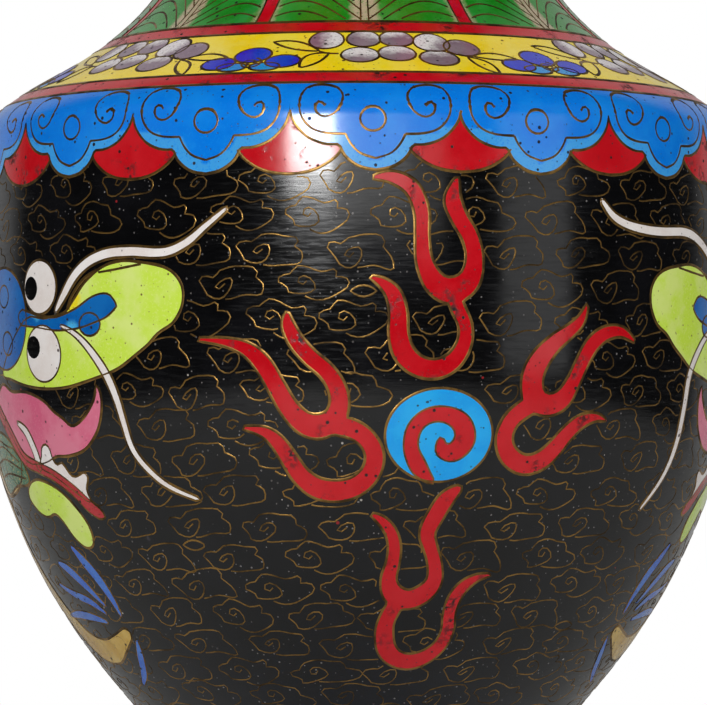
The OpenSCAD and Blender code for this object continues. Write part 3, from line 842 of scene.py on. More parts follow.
# ---- finishes ----


def linear(code: str) -> tuple[float, float, float, float]:
    """Turn an sRGB hex colour into linear light.

    Args:
        code: Such as "#C81418".

    Returns:
        Red, green, blue and one.
    """
    parts = [int(code[i:i + 2], 16) / 255 for i in (1, 3, 5)]
    light = [c / 12.92 if c <= 0.04045 else ((c + 0.055) / 1.055) ** 2.4 for c in parts]
    return (*light, 1.0)


def per_metre(size_mm: float) -> float:
    """Turn a pattern's size into a texture scale."""
    return 1000.0 / size_mm


class Sheet(TreeBuilder):
    """A material's node sheet with what the finishes share."""

    def __init__(self, name: str) -> None:
        """Start the material.

        Args:
            name: The material's name.
        """
        self.material = bpy.data.materials.new(name)
        self.material.use_nodes = True
        super().__init__(self.material.node_tree)
        self.tree.nodes.clear()
        self.shader = self.add("ShaderNodeBsdfPrincipled")
        self.add("ShaderNodeOutputMaterial", {"Surface": self.shader})
        self.place = self.add("ShaderNodeTexCoord").outputs["Object"]

    def shifted(self, seed: float) -> bpy.types.Node:
        """Give Object coordinates moved by a seed."""
        step = (seed, 1.7 * seed, 0.6 * seed)
        return self.add("ShaderNodeVectorMath", (self.place, step), operation="ADD")

    def pattern(self, seed: float, size_mm: float, detail: float = 2.0) -> dict[str, object]:
        """Work out what a noise of a real size is fed.

        Args:
            seed: Any number.
            size_mm: Size of its patches, mm.
            detail: How fine it goes.

        Returns:
            Feeds by input name.
        """
        return {
            "Vector": self.shifted(seed), "Scale": per_metre(size_mm), "Detail": detail, "Roughness": 0.6,
        }

    def dots(self, gap_mm: float, radius_mm: float, share: float, seed: float) -> bpy.types.Node:
        """Scatter round dots of different sizes.

        Args:
            gap_mm: Distance between places for a dot, mm.
            radius_mm: The greatest radius, mm.
            share: Share of the places that hold one.
            seed: Any number.

        Returns:
            A mask, 1 inside a dot.
        """
        feeds = {"Vector": self.shifted(seed), "Scale": per_metre(gap_mm)}
        cells = self.add("ShaderNodeTexVoronoi", feeds)
        luck = self.add("ShaderNodeSeparateColor", [cells.outputs["Color"]])
        size = self.add(RAMP, (luck, 1.0 - share, 1.0), **SOFT)
        size = self.add(MATH, (size, radius_mm / gap_mm), operation="MULTIPLY")
        # A place without a dot keeps a size too small to see, so that nothing is divided by zero.
        size = self.add(MATH, (size, 0.0001), operation="MAXIMUM")
        near = self.add(MATH, (cells.outputs["Distance"], size), operation="DIVIDE")
        return self.add(RAMP, (near, 1.0, 0.7), **SOFT)

    def set(self, **feeds: object) -> None:
        """Feed the shader's sockets; an underscore stands for a space."""
        for label, source in feeds.items():
            self.feed(self.shader.inputs[label.replace("_", " ")], source)


@dataclass(frozen=True)
class EnamelFinish:
    """Glassy fired enamel, ground flush and polished.

    It gives the eye a clean gloss over a slightly clouded colour, with tiny
    dark pits where bubbles opened under the polish.
    """

    name: str
    colour: str
    cloud: str
    second: str | None = None
    pit: str = "#140E0C"
    pits: float = 0.7
    pit_mm: float = 0.4
    worn: float = 0.0
    roughness: float = 0.16
    seed: float = 0.0

    def build(self) -> bpy.types.Material:
        """Make the material.

        Returns:
            The material.
        """
        sheet = Sheet(self.name)
        clouds = sheet.add(NOISE, sheet.pattern(self.seed + 1, 7.0, 3.0))
        clouds = sheet.add(RAMP, (clouds, 0.38, 0.66), **SOFT)
        colour = sheet.add(MIX, (clouds, linear(self.colour), linear(self.cloud)), **COLOUR)
        if self.second:
            # Two powders that touch run into each other along a ragged edge.
            tint = sheet.add("ShaderNodeAttribute", attribute_name="tint").outputs["Fac"]
            ragged = sheet.add(NOISE, sheet.pattern(self.seed + 2, 1.4))
            ragged = sheet.add(MATH, (ragged, 0.5), operation="SUBTRACT")
            ragged = sheet.add(MATH, (ragged, 0.5), operation="MULTIPLY")
            edge = sheet.add(MATH, (tint, ragged), operation="ADD")
            edge = sheet.add(RAMP, (edge, 0.3, 0.75), **SOFT)
            colour = sheet.add(MIX, (edge, colour, linear(self.second)), **COLOUR)
        # Enamel powder is finer than this; its grain is drawn at 0.45 mm so that it shows.
        grain = sheet.add(NOISE, sheet.pattern(self.seed + 3, 0.45))
        grain = sheet.add(RAMP, (grain, 0.5, 0.8), **SOFT)
        colour = sheet.add(MIX, (grain, colour, linear(self.cloud)), **COLOUR)
        # Large open bubbles, and fainter ones that are drawn 0.2 mm in radius so that they show.
        pits = sheet.dots(1.7, self.pit_mm, self.pits, self.seed + 4)
        fine = sheet.dots(0.9, 0.2, 0.6, self.seed + 5)
        fine = sheet.add(MATH, (fine, 0.7), operation="MULTIPLY")
        pits = sheet.add(MATH, (pits, fine), operation="MAXIMUM")
        if self.worn:
            # Patches where the grinding opened many bubbles at once.
            patch = sheet.add(NOISE, sheet.pattern(self.seed + 6, 5.5))
            patch = sheet.add(RAMP, (patch, 0.66 - 0.08 * self.worn, 0.74), **SOFT)
            broken = sheet.add(NOISE, sheet.pattern(self.seed + 7, 0.8))
            broken = sheet.add(RAMP, (broken, 0.42, 0.55), **SOFT)
            patch = sheet.add(MATH, (patch, broken), operation="MULTIPLY")
            pits = sheet.add(MATH, (pits, patch), operation="MAXIMUM")
        colour = sheet.add(MIX, (pits, colour, linear(self.pit)), **COLOUR)
        rough = sheet.add(NOISE, sheet.pattern(self.seed + 8, 3.0, 3.0))
        rough = sheet.add(MATH, (rough, 0.1, self.roughness - 0.05), operation="MULTIPLY_ADD")
        rough = sheet.add(MATH, (pits, 0.4, rough), operation="MULTIPLY_ADD")
        relief = sheet.add(NOISE, sheet.pattern(self.seed + 9, 6.0, 1.0))
        relief = sheet.add(MATH, (pits, -1.0, relief), operation="MULTIPLY_ADD")
        bump = sheet.add("ShaderNodeBump", {"Height": relief, "Strength": 1.0, "Distance": 0.03 * MM})
        sheet.set(Base_Color=colour, Roughness=rough, IOR=1.52, Normal=bump)
        return sheet.material


@dataclass(frozen=True)
class BlackEnamelFinish:
    """Black fired enamel, ground and polished by hand.

    It gives the eye a deep gloss with fine ground-in lines, dust-like pale
    specks, a few red grains and small clouded patches.
    """

    name: str
    seed: float = 0.0

    def build(self) -> bpy.types.Material:
        """Make the material.

        Returns:
            The material.
        """
        sheet = Sheet(self.name)
        cloud = sheet.add(NOISE, sheet.pattern(self.seed + 1, 14.0, 3.0))
        cloud = sheet.add(RAMP, (cloud, 0.4, 0.7), **SOFT)
        colour = sheet.add(MIX, (cloud, linear("#050506"), linear("#0D0D10")), **COLOUR)
        zones = sheet.add(NOISE, sheet.pattern(self.seed + 2, 16.0))
        zones = sheet.add(RAMP, (zones, 0.35, 0.65), **SOFT)
        zones = sheet.add(MATH, (zones, 0.7, 0.15), operation="MULTIPLY_ADD")
        # Dust is finer than this; it is drawn 0.22 mm in radius so that it shows.
        dust = sheet.dots(0.95, 0.22, 0.7, self.seed + 3)
        dust = sheet.add(MATH, (dust, zones), operation="MULTIPLY")
        colour = sheet.add(MIX, (dust, colour, linear("#7E7A78")), **COLOUR)
        specks = sheet.dots(3.4, 0.26, 0.4, self.seed + 4)
        colour = sheet.add(MIX, (specks, colour, linear("#A8A29A")), **COLOUR)
        reds = sheet.dots(6.5, 0.38, 0.3, self.seed + 5)
        colour = sheet.add(MIX, (reds, colour, linear("#8A1E22")), **COLOUR)
        haze = sheet.add(NOISE, sheet.pattern(self.seed + 6, 9.0, 3.0))
        haze = sheet.add(RAMP, (haze, 0.68, 0.85), **SOFT)
        mottle = sheet.add(NOISE, sheet.pattern(self.seed + 7, 1.2, 3.0))
        mottle = sheet.add(RAMP, (mottle, 0.4, 0.75), **SOFT)
        haze = sheet.add(MATH, (haze, mottle), operation="MULTIPLY")
        haze = sheet.add(MATH, (haze, 0.6), operation="MULTIPLY")
        colour = sheet.add(MIX, (haze, colour, linear("#8A7F86")), **COLOUR)
        # Grinding lines run level. Real ones are far finer; they are drawn 0.5 mm wide so that they show.
        level = {"Vector": sheet.shifted(self.seed + 8), "Scale": (0.09, 0.09, 1.0)}
        level = sheet.add("ShaderNodeMapping", level)
        lines = {"Vector": level, "Scale": per_metre(0.5), "Detail": 3.0, "Roughness": 0.7}
        lines = sheet.add(NOISE, lines)
        rough = sheet.add(RAMP, (lines, 0.4, 0.75), **SOFT)
        rough = sheet.add(MATH, (rough, 0.16, 0.09), operation="MULTIPLY_ADD")
        smear = sheet.add(NOISE, sheet.pattern(self.seed + 9, 5.0, 3.0))
        rough = sheet.add(MATH, (smear, 0.06, rough), operation="MULTIPLY_ADD")
        relief = sheet.add(NOISE, sheet.pattern(self.seed + 10, 7.0, 1.0))
        relief = sheet.add(MATH, (lines, 0.16, relief), operation="MULTIPLY_ADD")
        relief = sheet.add(MATH, (specks, -0.7, relief), operation="MULTIPLY_ADD")
        bump = sheet.add("ShaderNodeBump", {"Height": relief, "Strength": 1.0, "Distance": 0.035 * MM})
        sheet.set(Base_Color=colour, Roughness=rough, IOR=1.52, Normal=bump)
        return sheet.material


@dataclass(frozen=True)
class MetalFinish:
    """Worn metal with a skin of its own oxide.

    It gives the eye a warm glint where the polish reached it and a dull brown
    in the places between. On the brass wire that brown and the darkened gold are
    partly oxide and partly painted shade for the dark studio that the wire reflects.
    """

    name: str
    bright: str
    dull: str
    tarnish_mm: float
    roughness: float
    metallic: float = 1.0
    seed: float = 0.0

    def build(self) -> bpy.types.Material:
        """Make the material.

        Returns:
            The material.
        """
        sheet = Sheet(self.name)
        skin = sheet.add(NOISE, sheet.pattern(self.seed + 1, self.tarnish_mm, 4.0))
        skin = sheet.add(RAMP, (skin, 0.36, 0.68), **SOFT)
        colour = sheet.add(MIX, (skin, linear(self.bright), linear(self.dull)), **COLOUR)
        fine = sheet.add(NOISE, sheet.pattern(self.seed + 2, 0.6, 3.0))
        flecks = sheet.add(RAMP, (fine, 0.55, 0.8), **SOFT)
        colour = sheet.add(MIX, (flecks, colour, linear(self.dull)), **COLOUR)
        rough = sheet.add(MATH, (skin, 0.25, self.roughness), operation="MULTIPLY_ADD")
        bump = sheet.add("ShaderNodeBump", {"Height": fine, "Strength": 1.0, "Distance": 0.02 * MM})
        sheet.set(Base_Color=colour, Metallic=self.metallic, Roughness=rough, Normal=bump)
        return sheet.material


class Finish(Enum):
    """Every finish of the vase; the value's name is the CAD slot's."""

    # Raised sheet copper: warm and dull, with a brown skin of oxide.
    COPPER = ("copper", MetalFinish("Copper", "#B5714C", "#6E4030", 9.0, 0.32, seed=3.0))
    # Rolled brass wire with a trace of gilding: thin warm glints between brown stretches. Both colours are
    # darker than clean brass: partly brown oxide, partly painted shade standing for the dark studio that the
    # polished wire reflects.
    BRASS = ("brass_wire", MetalFinish("Gilt brass wire", "#A27C40", "#4A381E", 5.0, 0.3, 0.85, seed=5.0))
    # The plain lining glaze: an even blue green.
    TURQUOISE = ("turquoise_enamel", EnamelFinish("Turquoise enamel", "#2C93A6", "#3FA6B4", seed=7.0))
    # The ground colour: deep gloss with specks.
    BLACK = ("black_enamel", BlackEnamelFinish("Black enamel", seed=11.0))
    # A strong red that grinds unevenly, so it is the most worn.
    RED = (
        "red_enamel", EnamelFinish("Red enamel", "#C00012", "#C81420", worn=1.8, pit="#1A0506", seed=13.0),
    )
    # A clear mid blue that pales where it is thin.
    BLUE = (
        "blue_enamel",
        EnamelFinish("Blue enamel", "#007AE4", "#0C86E8", second="#3FA0E6", pit="#101A30", seed=17.0),
    )
    # An opaque yellow that shows few pits.
    YELLOW = (
        "yellow_enamel",
        EnamelFinish(
            "Yellow enamel", "#FFDF0C", "#FFE748", second="#F8E696", pit="#5A3A10", pits=0.45, seed=19.0,
        ),
    )
    # Grey purple powder laid against white, so petals fade.
    MAUVE = (
        "mauve_enamel",
        EnamelFinish("Mauve enamel", "#83687A", "#917A88", second="#EFE8E8", pit="#241A20", seed=23.0),
    )
    # Cobalt blue that lightens towards a petal's root.
    DEEP_BLUE = (
        "deep_blue_enamel",
        EnamelFinish("Deep blue enamel", "#0A1EC8", "#1C3CD2", second="#1E9AE0", seed=29.0),
    )
    # Leaf green with a pale rib.
    GREEN = (
        "green_enamel", EnamelFinish("Green enamel", "#148214", "#2C9434", second="#BCA98A", seed=31.0),
    )
    # Bright sky blue.
    PEARL = ("pearl_enamel", EnamelFinish("Sky blue enamel", "#009CEC", "#18AAF0", pits=0.6, seed=37.0))
    # Yellow green with warm yellow round the eye.
    LIME = (
        "lime_enamel",
        EnamelFinish(
            "Lime enamel", "#CDEB4C", "#DCEE82", second="#F2DC1E", pit="#6E5A20", pit_mm=0.26, seed=41.0,
        ),
    )
    # Cobalt with sky blue where the two powders meet.
    BROW = ("brow_enamel", EnamelFinish("Cobalt enamel", "#005AAA", "#0A6AB8", second="#4CB4E6", seed=43.0))
    # Opaque white, faintly warm.
    WHITE = (
        "white_enamel",
        EnamelFinish("White enamel", "#EAE0DA", "#F2ECE8", pits=0.45, pit="#4A3A34", seed=47.0),
    )
    # Opaque pink.
    PINK = ("pink_enamel", EnamelFinish("Pink enamel", "#D96585", "#DE7C94", pit="#5A2430", seed=53.0))
    # Dark crimson.
    LIP = ("lip_enamel", EnamelFinish("Crimson enamel", "#AA1E24", "#B63034", seed=59.0))
    # Ochre yellow with green at the throat.
    OCHRE = (
        "ochre_enamel", EnamelFinish("Ochre enamel", "#C89B32", "#D8B45A", second="#2D6E4B", seed=61.0),
    )
    # Mid blue in narrow strands.
    STRAND = ("strand_enamel", EnamelFinish("Strand blue enamel", "#3264C8", "#4A7ED2", seed=67.0))
    # The same black, in the eyes.
    PUPIL = ("black_enamel", BlackEnamelFinish("Pupil black enamel", seed=71.0))

    @property
    def slot(self) -> str:
        """Name the CAD slot."""
        return self.value[0]

    def material(self) -> bpy.types.Material:
        """Make the material once and hand it out after that."""
        spec = self.value[1]
        return bpy.data.materials.get(spec.name) or spec.build()


# ---- laying pieces on the wall ----


class Workshop:
    """Makes finished pieces out of flat drawings."""

    def __init__(self, sizes: VaseSizes) -> None:
        """Set up the wall's line and the trees.

        Args:
            sizes: The vase's sizes.
        """
        self.sizes = sizes
        self.wall = WallCurve(sizes)
        self.trees = WallTrees()
        self.wall_line = self._wall_line()
        self.seed = 1
        self.pieces: list[str] = []

    def _wall_line(self) -> bpy.types.Object:
        """Draw the wall's line as a curve, in mm.

        Returns:
            The curve's object.
        """
        data = bpy.data.curves.new("wall_line", "CURVE")
        data.dimensions = "3D"
        spline = data.splines.new("POLY")
        spline.points.add(len(self.wall.z) - 1)
        for point, r, z in zip(spline.points, self.wall.r, self.wall.z):
            point.co = (r, 0.0, z, 1.0)
        obj = bpy.data.objects.new("wall_line", data)
        bpy.context.scene.collection.objects.link(obj)
        return obj

    def clear(self) -> None:
        """Remove what only served the making."""
        bpy.data.objects.remove(self.wall_line)

    def common(self) -> dict[str, object]:
        """Give the inputs that every tree needs.

        Returns:
            Values by input name.
        """
        return {
            "Wall line": self.wall_line,
            "Turn per mm": 2 * math.pi / TURN_W,
            "Line start": self.wall.belly_arc,
        }

    def run(
        self, name: str, flat: Flat, tree: bpy.types.NodeTree, values: dict[str, object],
        attributes: dict[str, np.ndarray] | None = None,
    ) -> bpy.types.Object:
        """Run a tree on a drawing and keep the plain mesh.

        Args:
            name: The piece's name.
            flat: The drawing.
            tree: The tree.
            values: Inputs by name.
            attributes: Point attributes by name.

        Returns:
            The piece.
        """
        mesh = bpy.data.meshes.new(name)
        mesh.from_pydata([tuple(p) for p in flat.points], flat.edges, flat.faces)
        if flat.tint is not None:
            mesh.attributes.new("tint", "FLOAT", "POINT").data.foreach_set(
                "value", flat.tint.astype(np.float32)
            )
        for label, rows in (attributes or {}).items():
            mesh.attributes.new(label, "FLOAT_VECTOR", "POINT").data.foreach_set(
                "vector", rows.astype(np.float32).ravel()
            )
        obj = bpy.data.objects.new(name, mesh)
        bpy.context.scene.collection.objects.link(obj)
        modifier = obj.modifiers.new("lay", "NODES")
        modifier.node_group = tree
        for item in tree.interface.items_tree:
            if item.in_out == "INPUT" and item.name in values:
                modifier[item.identifier] = values[item.name]
        bpy.context.view_layer.update()
        graph = bpy.context.evaluated_depsgraph_get()
        done = bpy.data.meshes.new_from_object(
            obj.evaluated_get(graph), preserve_all_data_layers=True, depsgraph=graph
        )
        obj.modifiers.clear()
        obj.data = done
        done.name = name
        bpy.data.meshes.remove(mesh)
        return obj

    def finish(
        self, obj: bpy.types.Object, nodes: Sequence[str], finish: Finish, sharp: float = 40.0
    ) -> bpy.types.Object:
        """Hand a made piece to the shared frame.

        Args:
            obj: The piece.
            nodes: The CAD nodes that it stands for.
            finish: Its finish.
            sharp: Edges steeper than this many degrees stay crisp.

        Returns:
            The piece.
        """
        obj.data.set_sharp_from_angle(angle=math.radians(sharp))
        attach(obj, "root")
        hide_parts(*nodes)
        finish.slot
        self.pieces.append(obj.name)
        return obj

    def lay(self, name: str, flat: Flat, nodes: Sequence[str], finish: Finish) -> bpy.types.Object:
        """Lay an enamel drawing on the wall."""
        values = self.common() | {"Material": finish.material()}
        return self.finish(self.run(name, flat, self.trees.sheet, values), nodes, finish)

    def wire(
        self, name: str, wires: Wires, nodes: Sequence[str], width: float = 0.62, height: float = 0.12
    ) -> bpy.types.Object:
        """Lay wires on the wall.

        Args:
            name: The piece's name.
            wires: The lines.
            nodes: The CAD nodes that they belong to.
            width: The wire's width, mm.
            height: How far its crown stands out, mm.

        Returns:
            The piece.
        """
        self.seed += 1
        values = self.common() | {
            "Material": Finish.BRASS.material(), "Wire width": width, "Wire height": height,
            "Unevenness": 0.25, "Seed": self.seed,
        }
        return self.finish(
            self.run(name, wires.flat(), self.trees.wires, values), nodes, Finish.BRASS, 75.0,
        )

    def revolve(
        self, name: str, section: Sequence[tuple[float, float]], nodes: Sequence[str], finish: Finish,
        sharp: float = 40.0, steps: int = 200,
    ) -> bpy.types.Object:
        """Turn a closed section about the vase's axis.

        Args:
            name: The piece's name.
            section: Radius and height of each point, mm, outer side up.
            nodes: The CAD nodes that it stands for.
            finish: Its finish.
            sharp: Edges steeper than this many degrees stay crisp.
            steps: Number of steps round.

        Returns:
            The piece.
        """
        points: list[tuple[float, float, float]] = []
        rings: list[list[int]] = []
        for r, z in section:
            if r < 1e-6:
                rings.append([len(points)] * steps)
                points.append((0.0, 0.0, z * MM))
                continue
            rings.append(list(range(len(points), len(points) + steps)))
            for i in range(steps):
                a = 2 * math.pi * i / steps
                points.append((r * MM * math.sin(a), -r * MM * math.cos(a), z * MM))
        faces = []
        for lower, upper in zip(rings, rings[1:] + rings[:1]):
            for i in range(steps):
                k = (i + 1) % steps
                corners = list(dict.fromkeys((lower[i], lower[k], upper[k], upper[i])))
                if len(corners) > 2:
                    faces.append(tuple(corners))
        mesh = bpy.data.meshes.new(name)
        mesh.from_pydata(points, [], faces)
        mesh.materials.append(finish.material())
        mesh.shade_smooth()
        obj = bpy.data.objects.new(name, mesh)
        bpy.context.scene.collection.objects.link(obj)
        return self.finish(obj, nodes, finish, sharp)


# ---- the plain parts of the vase ----


@dataclass(frozen=True)
class CopperCore:
    """The copper wall and bottom, kept as the CAD part draws them."""

    nodes: tuple[str, ...] = (
        "copper_foot", "copper_lower_body", "copper_upper_body", "copper_neck", "bottom_plate",
    )

    def dress(self) -> None:
        """Give the CAD nodes their finish."""
        for name in self.nodes:
            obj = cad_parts[name]
            obj.data.materials.clear()
            obj.data.materials.append(Finish.COPPER.material())
            Finish.COPPER.slot


@dataclass(frozen=True)
class BandEdges:
    """Drawing heights of the bands' edges, mm."""

    waist_wire: float
    seam: float
    petal_low: float
    petal_wire: float
    collar_low: float
    collar_wire: float
    flower_low: float
    flower_high: float
    leaf_wire: float
    lip_wire: float
    top: float
    half: float

    @classmethod
    def of(cls, wall: WallCurve) -> "BandEdges":
        """Work the edges out from the wall.

        Args:
            wall: The vase's outer line.

        Returns:
            The edges.
        """
        s = wall.sizes
        waist = wall.along(s.waist_z)
        half = s.wire / 2
        low = s.collar_line + s.red_band
        high = low + s.flower_band
        return cls(
            waist - s.waist_band, wall.along(s.waist_z - half), wall.along(s.waist_z + half),
            waist + s.petal_band, s.collar_line - half - s.collar, s.collar_line, low, high,
            high + s.red_band, wall.along(s.wall_top) - s.lip_band, wall.along(s.wall_top), half,
        )


@dataclass(frozen=True)
class PlainBands:
    """The plain enamel bands, the lining, the rims and the ring wires."""

    edges: BandEdges

    def build(self, shop: Workshop) -> None:
        """Make every band and rim.

        Args:
            shop: The workshop.
        """
        e, s = self.edges, shop.sizes
        rim_v = shop.wall.along(s.foot_rim)
        bands = [
            ("foot_band", rim_v, e.waist_wire - e.half, Finish.BLUE),
            ("waist_band", e.waist_wire + e.half, e.seam, Finish.RED),
            ("petal_ground", e.petal_low, e.petal_wire - e.half, Finish.RED),
            ("body_ground", e.petal_wire + e.half, e.collar_low, Finish.BLACK),
            ("blue_collar", e.collar_low, e.collar_wire - e.half, Finish.BLUE),
            ("lower_red_band", e.collar_wire + e.half, e.flower_low - e.half, Finish.RED),
            ("flower_ground", e.flower_low + e.half, e.flower_high - e.half, Finish.YELLOW),
            ("upper_red_band", e.flower_high + e.half, e.leaf_wire - e.half, Finish.RED),
            ("neck_ground", e.leaf_wire + e.half, e.lip_wire - e.half, Finish.RED),
            ("lip_band", e.lip_wire + e.half, e.top, Finish.BLUE),
        ]
        for name, low, high, finish in bands:
            shop.lay(f"{name}_face", band(low, high, s.enamel), [name], finish)
        wires = [
            ("waist_wire", e.waist_wire), ("petal_lower_wire", shop.wall.along(s.waist_z)),
            ("petal_upper_wire", e.petal_wire), ("collar_wire", e.collar_wire),
            ("flower_lower_wire", e.flower_low), ("flower_upper_wire", e.flower_high),
            ("leaf_wire", e.leaf_wire), ("lip_wire", e.lip_wire),
        ]
        for name, v in wires:
            shop.lay(f"{name}_round", wire_ring(v, s.wire, s.proud, s.enamel), [name], Finish.BRASS)
        self._rims(shop)

    def _rims(self, shop: Workshop) -> None:
        """Turn the two rims, the lining and the base enamel.

        Args:
            shop: The workshop.
        """
        s, wall = shop.sizes, shop.wall
        depth = s.enamel + s.copper
        rounded = 0.5
        outer = [wall.section(z, -s.proud) for z in np.linspace(rounded, s.foot_rim, 5)]
        inner = [wall.section(z, depth) for z in np.linspace(s.foot_rim, rounded, 5)]
        low = s.foot_r + s.proud
        foot = s.foot_r - depth
        flat = [(foot + rounded, 0.0), (low - rounded, 0.0), (low - 0.15, 0.15)]
        section = flat + outer + inner + [(foot + 0.15, 0.15)]
        shop.revolve("foot_rim_round", section, ["foot_rim"], Finish.BRASS, 60.0)
        total = depth + s.lining
        middle = wall.section(s.wall_top, total / 2)
        n = math.hypot(1, 0.6)
        out, up = np.array([1, -0.6]) / n, np.array([0.6, 1]) / n
        bead = total / 2 + s.proud
        arc = [
            np.array(middle) + bead * (math.cos(a) * out + math.sin(a) * up)
            for a in np.linspace(0, math.pi, 19)
        ]
        shop.revolve("mouth_rim_round", [tuple(p) for p in arc], ["mouth_rim"], Finish.BRASS, 60.0)
        seam = s.waist_z - s.wire / 2
        floor = seam + s.plate
        heights = np.linspace(floor, s.wall_top, 150)
        back = [wall.section(z, depth) for z in heights]
        face = [wall.section(z, total) for z in heights[::-1]]
        face = [p for p in face if p[1] > floor + s.lining + 1.5]
        corner = face[-1]
        bend = [
            (corner[0] - 1.2 * (1 - math.cos(a)), floor + s.lining + 1.2 * (1 - math.sin(a)))
            for a in np.linspace(0.0, math.pi / 2, 7)
        ]
        shop.revolve(
            "inner_enamel_face", [(0.0, floor)] + back + face + bend + [(0.0, floor + s.lining)],
            ["inner_enamel"], Finish.TURQUOISE, 60.0,
        )
        disc = wall.section(seam, depth)[0]
        shop.revolve(
            "base_enamel_face",
            [
                (0.0, seam - s.enamel), (disc - 0.3, seam - s.enamel), (disc, seam - s.enamel + 0.3),
                (disc, seam), (0.0, seam),
            ],
            ["base_enamel"], Finish.TURQUOISE, 60.0,
        )


# ---- the figures' mask ----


class FigureMask:
    """Remembers where the figures lie, so that the clouds keep off them."""

    STEP = 0.5
    LOW = -110.0
    HIGH = 40.0

    def __init__(self) -> None:
        """Start with nothing covered."""
        self.columns = int(TURN_W / self.STEP)
        self.rows = int((self.HIGH - self.LOW) / self.STEP)
        self.covered = np.zeros((self.rows, self.columns), bool)
        self.sheets: list[Flat] = []

    def add(self, flat: Flat, outlines: Sequence[Outline]) -> None:
        """Cover a figure's cell.

        Args:
            flat: The cell.
            outlines: The cell's outlines.
        """
        self.sheets.append(flat)
        for outline in outlines:
            low, high = outline.min(axis=0), outline.max(axis=0)
            us = np.arange(math.floor(low[0]), math.ceil(high[0]), self.STEP)
            vs = np.arange(math.floor(low[1]), math.ceil(high[1]), self.STEP)
            grid = np.array(np.meshgrid(us, vs)).reshape(2, -1).T
            for u, v in grid[inside(grid, outline)]:
                row = int((v - self.LOW) / self.STEP)
                if 0 <= row < self.rows:
                    self.covered[row, int(u % TURN_W / self.STEP) % self.columns] = True

    def share(self, points: np.ndarray) -> float:
        """Tell how much of a drawing lies on figures.

        Args:
            points: The drawing's points.

        Returns:
            The share of its points, 0 to 1.
        """
        rows = np.clip(((points[:, 1] - self.LOW) / self.STEP).astype(int), 0, self.rows - 1)
        columns = (points[:, 0] % TURN_W / self.STEP).astype(int) % self.columns
        return float(self.covered[rows, columns].mean())

    def sheet(self) -> bpy.types.Object:
        """Make the flat sheet that cuts the clouds.

        Returns:
            An object for the cloud tree to look at.
        """
        whole = Flat.joined(self.sheets)
        points, faces = [], []
        for k, du in enumerate((-TURN_W, 0.0, TURN_W)):
            points.append(whole.points + np.array([du, 0.0, 0.0]))
            faces += [tuple(i + k * len(whole.points) for i in f) for f in whole.faces]
        mesh = bpy.data.meshes.new("figure_sheet")
        mesh.from_pydata([tuple(p) for p in np.vstack(points)], [], faces)
        obj = bpy.data.objects.new("figure_sheet", mesh)
        bpy.context.scene.collection.objects.link(obj)
        return obj


class Layer(Enum):
    """Height of each kind of cell over the ground, mm."""

    BODY = 0.030
    HEAD = 0.042
    BROW = 0.054
    WHITE = 0.066
    TOP = 0.078


# ---- lappets and scallops ----


